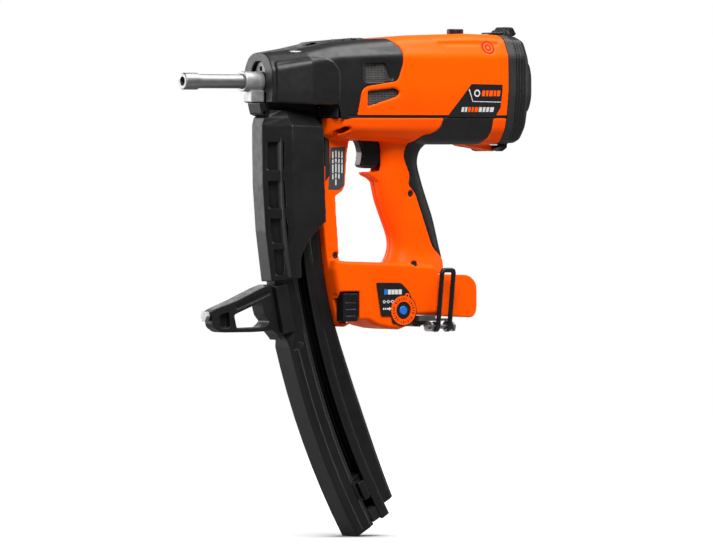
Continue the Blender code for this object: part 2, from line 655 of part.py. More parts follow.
def belt_hook():
    y, bottom, top = -38.0, -257.5, -198.0
    lean = 5.4
    corner = 4.0
    route = [(293, y, bottom), (293 + lean * 0.93, y, top - corner), (293 + lean + 1.2, y, top - 1.2),
             (293 + lean + corner, y, top), (307.4 + lean - corner, y, top), (307.4 + lean - 1.2, y,
                                                                              top - 1.2),
             (307.4 + lean * 0.93, y, top - corner), (307.4, y, bottom)]
    hook = bent_rod("belt_hook", route, 2.4, 10, pivot=HOOK_PIVOT)
    for index, x in enumerate((293, 307.4)):
        knuckle = disc(f"helper_hook_knuckle_{index}", 5.6, x - 2.4, x + 2.4, HOOK_PIVOT[1:], "X", 16)
        fuse(hook, knuckle)
    cut(hook, disc("helper_hook_bore", 2.7, 280, 320, HOOK_PIVOT[1:], "X", 12))
    finish(hook, "black_plastic", smooth=True)
    finish(disc("hook_pin", 2.4, 282.5, 317.5, HOOK_PIVOT[1:], "X", 12), "bright_steel", smooth=True)
    bracket = block("hook_bracket", (276, 317), (-27.5, -18.5), (-251.6, -249.2))
    fuse(bracket, block("helper_bracket_pad", (276, 297), (-27.5, -18.5), (-250, -245.8)))
    for index, x in enumerate((285, 312.6)):
        ear = rounded([(-27, -251), (-27, -249.4), (-19, -249.4), (-24, -262.5), (-38, -262.5), (-38, -254)],
                      [0, 0, 0, 3, 3, 3], 2)
        fuse(bracket, prism(f"helper_hook_ear_{index}", ear, x, x + 2.6, "X"))
    cut(bracket, disc("helper_ear_bore", 2.7, 280, 320, HOOK_PIVOT[1:], "X", 12))
    finish(bracket, "dark_steel")


def magazine_release():
    outline = rounded([(178, -221.6), (196.5, -221.6), (196.5, -250.8), (178, -250.8)], 1.5, 2)
    release = prism("magazine_release", outline, -31.5, -18.5, pivot=(187, -25, -236))
    for index in range(3):
        z = -228 - 7 * index
        cut(release, block(f"helper_release_groove_{index}", (181, 193.5), (-33, -30.3), (z - 3.4, z)))
    finish(release, "black_plastic")


# ---------------------------------------------------------------- magazine


def ring_point(radius, y, degrees):
    x, z = on_arc(radius, degrees)
    return (x, y, z)


def swept(name, section, start, end, steps, pivot=(0, 0, 0)):
    """A (radius, Y) section carried along the magazine's arc between two angles."""
    turns = [start + (end - start) * k / steps for k in range(steps + 1)]
    return loft(name, [[ring_point(radius, y, degrees) for radius, y in section] for degrees in turns], pivot)


def strip(inner, outer, y_low, y_high):
    return [(inner, y_low), (outer, y_low), (outer, y_high), (inner, y_high)]


def magazine_body():
    side = [(752, 12.4), (752, 15), (757, 16), (766, 16), (767.5, 14.8), (778, 14.8), (779.5, 16)]
    narrow, wide = [(790, 16), (798.6, 8.5)], [(797.4, 16),
                                               (799, 14.6)]  # front corner inside the guard and below it
    inner = [(795, 6.5), (788, 12.0), (758, 12.4)]
    rings = []
    for degrees in [-1.5 + 1.9 * k for k in range(8)] + [13.9, 14.9] + [16.5 + 2 * k for k in range(8)]:
        outer = mirrored_rows(side + (narrow if degrees < 14.5 else wide))
        section = outer + [(r, -y) for r, y in reversed(inner)] + inner
        rings.append([ring_point(r, y, degrees) for r, y in section])
    body = loft("magazine_body", rings, MAGAZINE_PIVOT)
    cut(body, swept("helper_follower_slot", strip(763.5, 774.5, -30, -8), 3.0, 31, 14))
    for side in (-1, 1):
        low, high = sorted((side * 14.9, side * 17.5))
        rib = swept(f"helper_rib_{side}", strip(785, 788, low, high), 11, 29.6, 8)
        fuse(body, rib)
    return finish(body, "black_plastic")


def mirrored_rows(half):
    """A half section of (radius, Y) from rear to front, and its mirror image from front to rear."""
    return half + [(radius, -y) for radius, y in reversed(half)]


def magazine_rail():
    """The rear edge stands a little further out below the handle's base."""
    rings = []
    for degrees in [-1.4 + 31.0 * k / 16 for k in range(17)]:
        out = 5.5 * math.sin(math.pi * min(max((degrees - 13) / 17, 0), 1))
        half = [(738 - out, 4), (738 - out, 10.5), (742 - out, 13), (751.7, 13), (751.7, 3.4), (747, 3.4)]
        rings.append([ring_point(r, y, degrees) for r, y in mirrored_rows(half)])
    return finish(loft("magazine_rail", rings, MAGAZINE_PIVOT), "black_plastic")


def magazine_guard():
    """Shell over the front and both sides of the magazine's upper half, wider than the track."""
    # degrees below level, half width of the sides, half width of the front band, front radius, rear radius
    rows = ((-3.15, 21, 11, 800.5, 752), (-2.55, 27, 10.5, 801.5, 748), (-1.9, 36, 10, 804, 744.5),
            (-0.9, 37.5, 10, 803.5, 744), (2.5, 37.5, 10, 803.5, 744), (6.0, 35.5, 10, 803.5, 744),
            (9.8, 30, 10, 803.5, 744))
    rings = []
    for degrees, wide, band, front, rear in rows:
        outer = [(rear, wide), (783, wide), (front, band), (front, -band), (783, -wide), (rear, -wide)]
        inner = [(rear, 2.6 - wide), (781.6, 2.6 - wide), (front - 2.9, 1.2 - band),
                 (front - 2.9, band - 1.2), (781.6, wide - 2.6), (rear, wide - 2.6)]
        rings.append([ring_point(radius, y, degrees) for radius, y in outer + inner])
    guard = loft("magazine_guard", rings, MAGAZINE_PIVOT)
    cut(guard, block("helper_adapter_room", (60, 170), (-12.6, 12.6), (-37.2, -10)))
    edge = [(128, -215), (127.5, -200), (125.5, -184), (133, -167), (143, -156), (153, -147), (175, -140),
            (175, -215)]
    cut(guard, prism("helper_guard_edge", rounded(edge, [0, 3, 6, 6, 6, 3, 0, 0]), -60, 60))
    for index, (top, bottom) in enumerate(((-63, -92), (-104, -132), (-143, -168), (-175, -202))):
        for side in (-1, 1):
            low, high = sorted((side * 13.5, side * 24))
            cut(guard, block(f"helper_guard_window_{index}_{side}", (60, 112), (low, high), (bottom, top)))
    for index, degrees in enumerate((-1.2, 3.2, 7.6)):
        web = swept(f"helper_guard_web_{index}", strip(799.6, 802, -9, 9), degrees, degrees + 0.25, 1)
        fuse(guard, web)
    return finish(guard, "black_plastic")


def magazine_stop():
    stop = swept("magazine_stop", strip(760, 788, -11, 11), 29.3, 30.3, 1, MAGAZINE_PIVOT)
    fuse(stop, swept("helper_stop_ear", strip(764, 774, -15.5, -8), 29.3, 30.3, 1))
    return finish(stop, "black_plastic")


def follower():
    centre = (ARC_X, 0.0, ARC_Z)
    piece = swept("follower", strip(758.6, 789, -9.5, 9.5), 26.4, 28.5, 2, centre)
    fuse(piece, swept("helper_follower_neck", strip(764.6, 773.4, -17.5, -8), 26.9, 28.2, 1))
    fuse(piece, swept("helper_follower_thumb", strip(766, 779, -23, -17), 26.6, 28.4, 1))
    finish(piece, "dark_steel")
    drum = ring("follower_spring", 3.0, 7.4, -4.5, 4.5, on_arc(774, -0.6), "Y", 20, MAGAZINE_PIVOT)
    finish(drum, "bright_steel", smooth=True)


def support_foot():
    outline = [
        (31, -238.5), (35, -236.5), (60, -228), (92, -214.5), (104, -211), (107, -219), (111, -240),
        (120, -273), (117.5, -273), (105, -258.8), (92, -260.5), (78, -261), (42, -261), (32.3, -255),
    ]
    radii = [2, 3, 4, 4, 2, 0, 0, 0, 1, 4, 3, 3, 4, 3]
    foot = prism("support_foot", rounded(outline, radii, 2), -11.5, 11.5, pivot=MAGAZINE_PIVOT)
    plan = [(20, 5.5), (36, 8.0), (60, 11.4), (130, 11.4)]
    plan += [(x, -y) for x, y in reversed(plan)]
    keep(foot, prism("helper_foot_plan", plan, -300, -190, "Z"))
    window = [(56.8, -242.6), (90.5, -229.5), (94.5, -244), (100.5, -250), (93, -256.2), (60, -257)]
    cut(foot, prism("helper_foot_window", rounded(window, 2.5, 2), -30, 30))
    hollow = rounded([(40, -243), (51, -239.5), (52, -256), (41, -256)], 2, 2)
    for side in (-1, 1):
        low, high = sorted((side * 3.0, side * 20))
        cut(foot, prism(f"helper_foot_hollow_{side}", hollow, low, high))
    cut(foot, swept("helper_foot_seat", strip(700, 804.6, -30, 30), 8, 16, 4))
    finish(foot, "black_plastic")
    tip = circle(0, FOOT_TIP_Z, 6.2, 6)
    finish(prism("foot_tip", tip, 25.5, 30.7, "X", MAGAZINE_PIVOT), "bright_steel")
    start, end = arc_angle(FRONT_R, -213), arc_angle(FRONT_R, -262)
    clip = swept("foot_clip", strip(790, 804.3, -17.8, 17.8), start, end, 4, MAGAZINE_PIVOT)
    cut(clip, swept("helper_clip_hole", strip(760, 799.6, -16.4, 16.4), start - 1, end + 1, 6))
    finish(clip, "black_plastic")


def magazine_dock():
    dock = block("magazine_dock", (158, 166.1), (-14, 14), (-88, -42.8))
    return finish(cut(dock, block("helper_dock_slot", (150, 162), (-5, 5), (-90, -46))), "black_plastic")


# ---------------------------------------------------------------- drive line


def probe():
    profile = [
        (0, PROBE_BORE), (0, 7.9), (1.0, COLLAR_RADIUS), (17, COLLAR_RADIUS), (20, PROBE_RADIUS),
        (PROBE_REAR, PROBE_RADIUS), (PROBE_REAR, PROBE_BORE),
    ]
    return finish(turned("probe", profile, steps=28), "bright_steel", smooth=True)


def probe_guide():
    guide = ring("probe_guide", PROBE_RADIUS + GAP, 10.5, 72.5, 92, steps=28)
    fuse(guide, block("helper_guide_neck", (80, 95.7), (-7.5, 7.5), (-21.4, -9.5)))
    fuse(guide, prism("helper_guide_cheek", rounded(circle(0, 0, 10.2, 16), 0.2, 1), 88, 95.7, "X"))
    cut(guide, disc("helper_guide_bore", PROBE_RADIUS + GAP, 60, 100, steps=28))
    return finish(guide, "cast_metal", smooth=True)


def linkage_yoke():
    """Plate on the probe's rear end, and the strap that carries the combustion sleeve with it."""
    plate = rounded([(-12, -11), (-12, 8), (-6, 20), (-6, 23.5), (6, 23.5), (6, 20), (12, 8), (12, -11)], 2,
                    2)
    yoke = prism("linkage_yoke", plate, YOKE_X, YOKE_X + 3.5, "X")
    cut(yoke, disc("helper_yoke_bore", PROBE_BORE + 0.2, 90, 110, steps=20))
    cut(yoke, block("helper_yoke_slot", (90, 110), (-2.4, 2.4), (11, 16)))
    strap = rounded([(YOKE_X + 0.4, 17), (YOKE_X + 3.1, 17), (134, 28.8), (SLEEVE_X[0] - GAP, 28.8),
                     (SLEEVE_X[0] - GAP, 31.3), (132, 31.3), (YOKE_X + 0.4, 20.5)], 1, 1)
    fuse(yoke, prism("helper_yoke_strap", strap, -5.4, 5.4))
    fuse(yoke, block("helper_yoke_lug", (190, 193), (-5, 5), (30, 39.2)))
    return finish(yoke, "dark_steel")


def nose_block():
    nose = prism("nose_block", rounded(mirrored([(9, 14), (14, 8), (14, -8), (12, -21.3)]), 2, 2), 127, 166,
                 "X")
    fuse(nose, disc("helper_nose_flange", 27.0, 162, 171.7, steps=28))
    cut(nose, disc("helper_nose_bore", 4.7, 120, 180, steps=16))
    cut(nose, block("helper_feed_slot", (120, 152), (-3.0, 3.0), (-30, 0)))
    finish(nose, "cast_metal")
    adapter = prism("nose_adapter", rounded([(87, -22), (158, -22), (158, -36.6), (97, -36.6), (90, -34)],
                                            1.5, 2),
                    -11.5, 11.5)
    cut(adapter, block("helper_adapter_slot", (104, 152), (-3.2, 3.2), (-50, -10)))
    cut(adapter, disc("helper_adapter_pin", 2.2, -20, 20, (94, -32.4), "Y", 10))
    finish(adapter, "cast_metal")


def engine():
    start, end = CYLINDER_X
    profile = [(start, BORE), (start, 33), (start + 5, 33), (start + 7, CYLINDER_RADIUS),
               (end, CYLINDER_RADIUS),
               (end, BORE)]
    cylinder = turned("cylinder", profile, steps=32)
    for index in range(6):
        turn = math.radians(30 + 60 * index)
        centre = (27 * math.cos(turn), 27 * math.sin(turn))
        cut(cylinder, disc(f"helper_exhaust_{index}", 2.5, 182, 188, centre, "X", 8))
    cut(cylinder, block("helper_strap_notch", (160, 179.5), (-7.5, 7.5), (28.2, 40)))
    finish(cylinder, "cast_metal", smooth=True)
    finish(turned("bumper", [(172.4, 5.5), (172.4, 24.5), (182, 21), (182, 8)], steps=24), "rubber",
           smooth=True)
    piston = turned("piston", [(130, 0), (130, 3.0), (277, 3.0), (279, 9), (280, 24.6), (282, 24.6),
                               (282, 23.6),
                               (285, 23.6), (285, 24.6), (288, 24.6), (288, 0)], steps=28)
    finish(piston, "bright_steel", smooth=True)
    sleeve = turned("combustion_sleeve", [(SLEEVE_X[0], SLEEVE_INNER), (SLEEVE_X[0], SLEEVE_OUTER),
                                          (SLEEVE_X[1], SLEEVE_OUTER), (SLEEVE_X[1], SLEEVE_INNER)], steps=32)
    finish(sleeve, "cast_metal", smooth=True)
    head = turned("cylinder_head", [(HEAD_X[0], 7), (HEAD_X[0], 27.4), (HEAD_X[1], 27.4), (HEAD_X[1], 42),
                                    (349, 42), (349, 15), (338, 15), (338, 7)], steps=32)
    cut(head, disc("helper_plug_hole", 3.4, 320, 360, (19, 14), "X", 12))
    cut(head, disc("helper_port_hole", 2.5, 320, 360, (-19, -14), "X", 12))
    cut(head, block("helper_head_flat", (340, 360), (-60, 60), (-60, -31.5)))
    finish(head, "cast_metal", smooth=True)
    plug = turned("spark_plug", [(326.8, 0), (326.8, 0.9), (329, 0.9), (329, 3.0), (350, 3.0), (350, 4.6),
                                 (357, 4.6),
                                 (357, 0)], (19, 14), steps=12)
    finish(plug, "bright_steel", smooth=True)
    finish(turned("fan_motor", [(338.4, 0), (338.4, 6.6), (340, 6.6), (340, 14.6), (366, 14.6), (368, 12),
                                (368, 0)],
                  steps=24), "dark_steel", smooth=True)
    fan()
    coil = spring_route((194.2, 0, 35.6), (253.8, 0, 35.6), 3.1, 9)
    finish(bent_rod("return_spring", coil, 0.6, 5), "bright_steel", smooth=True)


def fan():
    rotor = disc("fan", 4.6, 319.5, 326, steps=16)
    for index in range(5):
        turn = 2 * math.pi * index / 5
        across = Vector((0, -math.sin(turn), math.cos(turn)))
        out = Vector((0, math.cos(turn), math.sin(turn)))
        rings = []
        for distance in (3.5, 24.0):
            rings.append([
                Vector((322.7 + dx, 0, 0)) + across * dy + out * distance
                for dx, dy in ((-2.6, -4.6), (-1.4, -5.0), (2.6, 4.6), (1.4, 5.0))
            ])
        fuse(rotor, loft(f"helper_blade_{index}", rings))
    fuse(rotor, disc("helper_fan_shaft", 1.5, 325, 338.1, steps=10))
    return finish(rotor, "dark_steel", smooth=True)


def fuel_group():
    """The cell with its metering valve pressed on its front end."""
    cell = turned("fuel_cell", [(252, 0), (252, 6), (261, 6), (261, 3), (268, 3), (268, 9),
                                (271, FUEL_RADIUS),
                                (366, FUEL_RADIUS), (369, 11), (369, 0)], (0, FUEL_Z), steps=20)
    finish(cell, "bright_steel", smooth=True)


def electrics():
    """The board behind the panel, with the ignition coil soldered on it, and the wires to the head."""
    board = block("circuit_board", (206, 246), (-20.5, -18.9), (-244, -200))
    fuse(board, disc("helper_ignition_coil", 9.5, 208, 236, (-10, -222), steps=16))
    finish(board, "board_green")
    route = [(284, -7, -198), (287, -7, -182), (290, -6, -160), (289, -6, -142), (286, -6, -126),
             (283.5, -6, -113),
             (281, -6, -100), (277, -6, -85), (276.5, -7, -73), (278, -10, -65), (283, -16, -57), (294, -20,
                                                                                                   -50),
             (318, -22, -44), (340, -22, -37), (354, -21, -35), (360, -20, -24), (361, -19, -14)]
    finish(bent_rod("wire_loom", route, 1.5, 8), "rubber", smooth=True)


def trims():
    screen = rounded([(192, -27.5), (192, 20.5), (226, 22.5), (238, 8), (241, -12), (236, -18)], 2, 2)
    finish(prism("vent_screen_left", screen, -44.4, -43.6), "dark_steel")
    finish(prism("vent_screen_right", screen, 43.6, 44.4), "dark_steel")
    profile = [(38, 0), (38, 2.9), (49.3, 2.9), (49.3, 8.8), (KNOB_Z + 3.8, 8.8), (KNOB_Z + 4.6, 8.0),
               (KNOB_Z + 4.6, 0)]
    knob = turned("power_knob", profile, (KNOB_X, 0), "Z", 24, (KNOB_X, 0, KNOB_Z))
    cut(knob, block("helper_knob_slot", (KNOB_X - 7, KNOB_X + 7), (-1, 1), (KNOB_Z + 3.2, 70)))
    finish(knob, "black_plastic", smooth=True)
    for name, x in (("shroud_screw_front", 186), ("shroud_screw_rear", 208)):
        finish(turned(name, [(40.6, 0), (40.6, 1.5), (42.6, 1.5), (42.6, 3.2), (45.0, 3.2), (45.0, 0)],
                      (x, 0), "Z", 12),
               "bright_steel", smooth=True)
    finish(disc("latch_pin", 1.8, -12.8, 12.8, (LATCH_PIVOT[0], LATCH_PIVOT[2]), "Y", 12), "bright_steel",
           smooth=True)
    finish(disc("cap_hinge_pin", 1.3, -25, 25, (CAP_PIVOT[0], CAP_PIVOT[2]), "Y", 12), "bright_steel",
           smooth=True)


# ---------------------------------------------------------------- assembly

for thing in list(bpy.data.objects):
    bpy.data.objects.remove(thing, do_unlink=True)
tool_frame = bpy.data.objects.new("tool_frame", None)
bpy.context.scene.collection.objects.link(tool_frame)
tool_frame.location = -GRIP_MIDDLE * MM

nose_shroud()
upper_cover()
rear_gasket()
rear_cap()
cap_latch()
handle = housing_body()
handle.hide_render = True
handle.display_type = "WIRE"
housing_side("housing_left", -1, handle)
housing_side("housing_right", 1, handle)
pad_skin = pad_body()
grip_pad("grip_pad_left", -1)
grip_pad("grip_pad_right", 1)
for screw_name in SCREWS:
    housing_screw(screw_name)
trigger()
trigger_group()
control_panel()
battery()
belt_hook()
magazine_release()
magazine_body()
magazine_rail()
magazine_guard()
magazine_stop()
follower()
support_foot()
magazine_dock()
probe()
probe_guide()
linkage_yoke()
nose_block()
engine()
fuel_group()
electrics()
trims()
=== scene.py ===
"""Looks of the gas-driven pin nailer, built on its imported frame.

Sizes are millimetres in the tool frame: X runs from the muzzle to the rear cap, Z is up, and the probe
moves on the line Y = Z = 0. solid() turns them into the frame's metres, measured from the grip's middle.
"""

import json
import math

import bmesh
import bpy
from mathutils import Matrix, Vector


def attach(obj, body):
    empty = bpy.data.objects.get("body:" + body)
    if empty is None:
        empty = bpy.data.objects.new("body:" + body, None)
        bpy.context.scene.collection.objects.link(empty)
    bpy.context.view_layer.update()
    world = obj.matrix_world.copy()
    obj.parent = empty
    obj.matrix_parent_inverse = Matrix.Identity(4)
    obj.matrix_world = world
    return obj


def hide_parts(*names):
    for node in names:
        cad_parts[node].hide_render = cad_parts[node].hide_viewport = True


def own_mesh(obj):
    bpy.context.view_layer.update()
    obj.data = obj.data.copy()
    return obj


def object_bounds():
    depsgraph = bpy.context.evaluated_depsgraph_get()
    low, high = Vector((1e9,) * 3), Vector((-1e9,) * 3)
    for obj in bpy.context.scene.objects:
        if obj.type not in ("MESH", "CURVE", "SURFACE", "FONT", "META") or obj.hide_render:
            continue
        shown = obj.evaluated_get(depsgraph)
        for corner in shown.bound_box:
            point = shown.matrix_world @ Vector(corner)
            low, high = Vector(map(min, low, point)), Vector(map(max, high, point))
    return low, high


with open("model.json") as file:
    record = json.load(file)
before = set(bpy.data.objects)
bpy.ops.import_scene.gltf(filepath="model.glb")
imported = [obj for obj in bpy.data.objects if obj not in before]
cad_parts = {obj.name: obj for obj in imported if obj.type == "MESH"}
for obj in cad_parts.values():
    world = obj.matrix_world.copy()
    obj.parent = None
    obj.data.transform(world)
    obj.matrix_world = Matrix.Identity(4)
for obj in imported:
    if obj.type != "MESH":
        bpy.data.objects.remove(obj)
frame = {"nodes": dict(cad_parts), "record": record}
cad_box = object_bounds()

MM = 0.001
FINE = 3  # how much finer than the solids the curves are

GAP = 0.3  # clearance between pieces that touch
GRIP_MIDDLE = Vector((281.0, 0.0, -136.5))
PROBE_BORE, PROBE_RADIUS, COLLAR_RADIUS = 4.7, 7.35, 8.8
PROBE_REAR, YOKE_X = 96.0, 96.3
SLEEVE_X = 262.0
SEAM_Z = -37.6
COVER_END, CAP_START = 375.0, 384.3
WALL, PAD_DEPTH = 3.0, 2.3
ARC_X, ARC_Z = 895.0, -72.0  # the centre that the magazine curves about
FRONT_R, SPINE_R = 800.0, 735.0  # how far its front and the handle's spine are from that centre
BASE_HALF = 28.5
DIAL = (254.7, -240.0)  # (X, Z)
TRIGGER_PIVOT, CAP_PIVOT, LATCH_PIVOT = (236.0, -54.0), (380.0, -69.2), (399.0, 53.5)  # (X, Z)
HOOK_PIVOT = (-33.0, -257.5)  # (Y, Z)
KNOB_X, KNOB_Z = 339.7, 52.2
SIDES = ((-1, "left"), (1, "right"))
SHARPEST = 0.35  # stops the points of sharp corners from running away when an outline is offset
SQUARENESS = 0.75  # the grip's section, between a rectangle at 0 and an ellipse at 1


# ---- outlines


def offset(outline, distance):
    """A closed outline moved outwards by distance, or inwards where it is negative."""
    count = len(outline)
    area = sum(
        outline[i][0] * outline[(i + 1) % count][1] - outline[(i + 1) % count][0] * outline[i][1]
        for i in range(count)
    )
    side = 1.0 if area > 0 else -1.0
    moved = []
    for i, point in enumerate(outline):
        before, here, after = Vector(outline[i - 1]), Vector(point), Vector(outline[(i + 1) % count])
        into, out = (here - before).normalized(), (after - here).normalized()
        normal = Vector((into.y + out.y, -into.x - out.x)).normalized() * side
        into_normal = Vector((into.y, -into.x)) * side
        moved.append(tuple(here + normal * (distance / max(normal.dot(into_normal), SHARPEST))))
    return moved


def rounded(outline, radius, steps=3):
    """The corners of a closed outline cut back to curves; radius may be a list with one value each."""
    count, steps = len(outline), steps * FINE
    radii = radius if isinstance(radius, (list, tuple)) else [radius] * count
    points = []
    for i in range(count):
        before, here, after = Vector(outline[i - 1]), Vector(outline[i]), Vector(outline[(i + 1) % count])
        room = 0.49 * min((before - here).length, (after - here).length)
        reach = min(radii[i], room)
        if reach < 0.01:
            points.append(tuple(here))
            continue
        start = here + (before - here).normalized() * reach
        end = here + (after - here).normalized() * reach
        for k in range(steps + 1):
            t = k / steps
            points.append(tuple(start * (1 - t) ** 2 + here * (2 * t * (1 - t)) + end * t * t))
    return points


def circle(cx, cy, radius, steps=24):
    count = round(steps * FINE)
    turns = [2 * math.pi * k / count for k in range(count)]
    return [(cx + radius * math.cos(t), cy + radius * math.sin(t)) for t in turns]


def mirrored(half):
    """A half outline from top to bottom on the +Y side, closed by its mirror image."""
    return half + [(-y, z) for y, z in reversed(half)]


def on_arc(radius, degrees):
    """The (X, Z) point at this distance from the magazine's centre, this far below level."""
    turn = math.radians(degrees)
    return (ARC_X - radius * math.cos(turn), ARC_Z - radius * math.sin(turn))


def arc(radius, start, end, steps):
    return [on_arc(radius, start + (end - start) * k / steps) for k in range(steps + 1)]


def arc_angle(radius, z):
    return math.degrees(math.asin((ARC_Z - z) / radius))


def span(side, inner, outer):
    """The Y range between two distances from the middle plane, on one side of it."""
    return sorted((side * inner, side * outer))


# ---- solids


def placed(name, data):
    thing = bpy.data.objects.new(name, data)
    bpy.context.scene.collection.objects.link(thing)
    return thing


def solid(verts, faces, name):
    mesh = bpy.data.meshes.new(name)
    mesh.from_pydata([(Vector(v) - GRIP_MIDDLE) * MM for v in verts], [], faces)
    work = bmesh.new()
    work.from_mesh(mesh)
    bmesh.ops.recalc_face_normals(work, faces=work.faces)
    work.to_mesh(mesh)
    work.free()
    return placed(name, mesh)


def loft(rings, closed=False, name="tool"):
    """Skin over rings of the same number of points, with flat ends unless the loop is closed."""
    count = len(rings[0])
    verts = [point for ring in rings for point in ring]
    pairs = list(zip(range(len(rings)), range(1, len(rings))))
    faces = []
    if closed:
        pairs.append((len(rings) - 1, 0))
    else:
        faces += [list(range(count)), list(range(len(verts) - count, len(verts)))]
    for a, b in pairs:
        for i in range(count):
            j = (i + 1) % count
            faces.append((a * count + i, a * count + j, b * count + j, b * count + i))
    return solid(verts, faces, name=name)


def prism(outline, low, high, along="Y", name="tool"):
    """A flat outline carried from low to high: (X, Z) along Y, (Y, Z) along X, or (X, Y) along Z."""
    place = {
        "X": lambda p, d: (d, p[0], p[1]),
        "Y": lambda p, d: (p[0], d, p[1]),
        "Z": lambda p, d: (p[0], p[1], d),
    }[along]
    return loft([[place(p, d) for p in outline] for d in (low, high)], name=name)


def pillow(outline, low, high, radius, name, steps=5):
    """A prism along Y whose long edges are rounded over."""
    profile = [(low + radius * (1 - math.cos(math.pi / 2 * k / steps)),
                radius * (1 - math.sin(math.pi / 2 * k / steps)))
               for k in range(steps + 1)]
    profile += [(low + high - y, inset) for y, inset in reversed(profile)]
    return loft([[(x, y, z) for x, z in offset(outline, -inset)] for y, inset in profile], name=name)


def box_outline(x, z):
    return [(x[0], z[0]), (x[1], z[0]), (x[1], z[1]), (x[0], z[1])]


def block(x, y, z, name="tool"):
    return prism(box_outline(x, z), y[0], y[1], name=name)


def turned(profile, centre=(0, 0), along="X", steps=24, name="tool"):
    """A closed profile of (distance along, radius) turned about a line through centre."""
    place = {
        "X": lambda d, a, b: (d, centre[0] + a, centre[1] + b),
        "Y": lambda d, a, b: (centre[0] + a, d, centre[1] + b),
        "Z": lambda d, a, b: (centre[0] + a, centre[1] + b, d),
    }[along]
    verts, rows, steps = [], [], steps * FINE
    for distance, radius in profile:
        if radius == 0:
            rows.append([len(verts)] * steps)
            verts.append(place(distance, 0, 0))
            continue
        rows.append(list(range(len(verts), len(verts) + steps)))
        verts += [place(distance, a, b) for a, b in circle(0, 0, radius, steps // FINE)]
    faces = []
    for first, second in zip(rows, rows[1:] + rows[:1]):
        for k in range(steps):
            n = (k + 1) % steps
            face = list(dict.fromkeys([first[k], first[n], second[n], second[k]]))
            if len(face) > 2:
                faces.append(face)
    return solid(verts, faces, name=name)


def disc(radius, low, high, centre=(0, 0), along="X", steps=24, name="tool"):
    return turned([(low, 0), (low, radius), (high, radius), (high, 0)], centre, along, steps, name=name)


def ring(inner, outer, low, high, centre=(0, 0), along="X", steps=24, name="tool"):
    profile = [(low, inner), (low, outer), (high, outer), (high, inner)]
    return turned(profile, centre, along, steps, name=name)


def bent_rod(route, radius, sides, name):
    """A round rod that follows the route's points."""
    points = [Vector(p) for p in route]
    rings, side = [], None
    for before, point, after in zip(points[:1] + points, points, points[1:] + points[-1:]):
        along = (after - before).normalized()
        if side is None:
            side = along.orthogonal().normalized()
        side = (side - along * side.dot(along)).normalized()
        other = along.cross(side)
        rings.append([point + side * y + other * z for y, z in circle(0, 0, radius, sides / FINE)])
    return loft(rings, name=name)


def settle(thing):
    """Works the object's modifiers into its mesh."""
    graph = bpy.context.evaluated_depsgraph_get()
    mesh = bpy.data.meshes.new_from_object(thing.evaluated_get(graph), depsgraph=graph)
    thing.modifiers.clear()
    old, thing.data = thing.data, mesh
    bpy.data.meshes.remove(old)
    return thing


def grouped(name, things):
    """Many small solids kept in one object."""
    work = bmesh.new()
    for thing in things:
        work.from_mesh(thing.data)
        bpy.data.objects.remove(thing)
    mesh = bpy.data.meshes.new(name)
    work.to_mesh(mesh)
    work.free()
    return placed(name, mesh)


def combine(target, tool, operation):
    before = target.data.copy()
    for solver in ("MANIFOLD", "EXACT"):
        step = target.modifiers.new("Combine", "BOOLEAN")
        step.operation, step.solver, step.object = operation, solver, tool
        settle(target)
        if len(target.data.polygons):
            break
        target.data = before.copy()
    bpy.data.objects.remove(tool)
    return target


def cut(target, *tools):
    for tool in tools:
        combine(target, tool, "DIFFERENCE")
    return target


def fuse(target, *tools):
    for tool in tools:
        combine(target, tool, "UNION")
    return target


def keep(target, *tools):
    for tool in tools:
        combine(target, tool, "INTERSECT")
    return target


# ---- materials


def feed(tree, target, inputs):
    """Sets each input to its value, or links it to its socket."""
    for key, value in inputs.items():
        if isinstance(value, bpy.types.NodeSocket):
            tree.links.new(value, target.inputs[key])
        else:
            target.inputs[key].default_value = value


def socket(tree, kind, result, inputs=None, **settings):
    """A new shader node, given as its result socket."""
    made = tree.nodes.new("ShaderNode" + kind)
    for key, value in settings.items():
        setattr(made, key, value)
    feed(tree, made, inputs or {})
    return made.outputs[result]


def surface(name, colour, rough, metal=0.0, grain=0.5, relief=0.02, drift=0.08, patch=35.0, wear_and_edge_highlight=0.0,
            coat=0.0, specular=0.5):
    """A finish whose colour drifts over patches (mm) and whose grain (mm) is raised by relief (mm).

    wear_and_edge_highlight lightens convex edges, partly as edge wear and partly as a painted highlight.
    """
    made = bpy.data.materials.new(name)
    made.use_nodes = True
    tree = made.node_tree
    place = socket(tree, "TexCoord", "Object")

    def noise(size, detail=3.0):
        return socket(tree, "TexNoise", "Fac", {"Scale": 1 / (size * MM), "Detail": detail, "Vector": place})

    def ranged(value, low, high, source=(0.3, 0.7)):
        return socket(tree, "MapRange", "Result", {
            "Value": value, "From Min": source[0], "From Max": source[1], "To Min": low, "To Max": high})

    def mixed(factor, first, second):
        return socket(tree, "Mix", "Result", {"Factor": factor, "A": first, "B": second}, data_type="RGBA")

    def shade(gain, lift=0.0):
        return (*(min(c * gain + lift, 1.0) for c in colour), 1.0)

    tone = mixed(ranged(noise(patch), 0.0, 1.0), shade(1 - drift), shade(1 + drift))
    if wear_and_edge_highlight:
        # convex edges made lighter: partly edge wear, partly a painted highlight along them
        worn_and_highlit_edges = ranged(socket(tree, "NewGeometry", "Pointiness"), 0.0, wear_and_edge_highlight, (0.53, 0.62))
        tone = mixed(worn_and_highlit_edges, tone, shade(1.25, 0.05))
    feed(tree, tree.nodes["Principled BSDF"], {
        "Base Color": tone,
        "Metallic": metal,
        "Roughness": ranged(noise(7.0), rough - 0.05, rough + 0.06),
        "Specular IOR Level": specular,
        "Coat Weight": coat,
        "Coat Roughness": 0.12,
        "Normal": socket(tree, "Bump", "Normal", {
            "Strength": 1.0, "Distance": relief * MM, "Height": noise(grain, 4.0)}),
    })
    return made


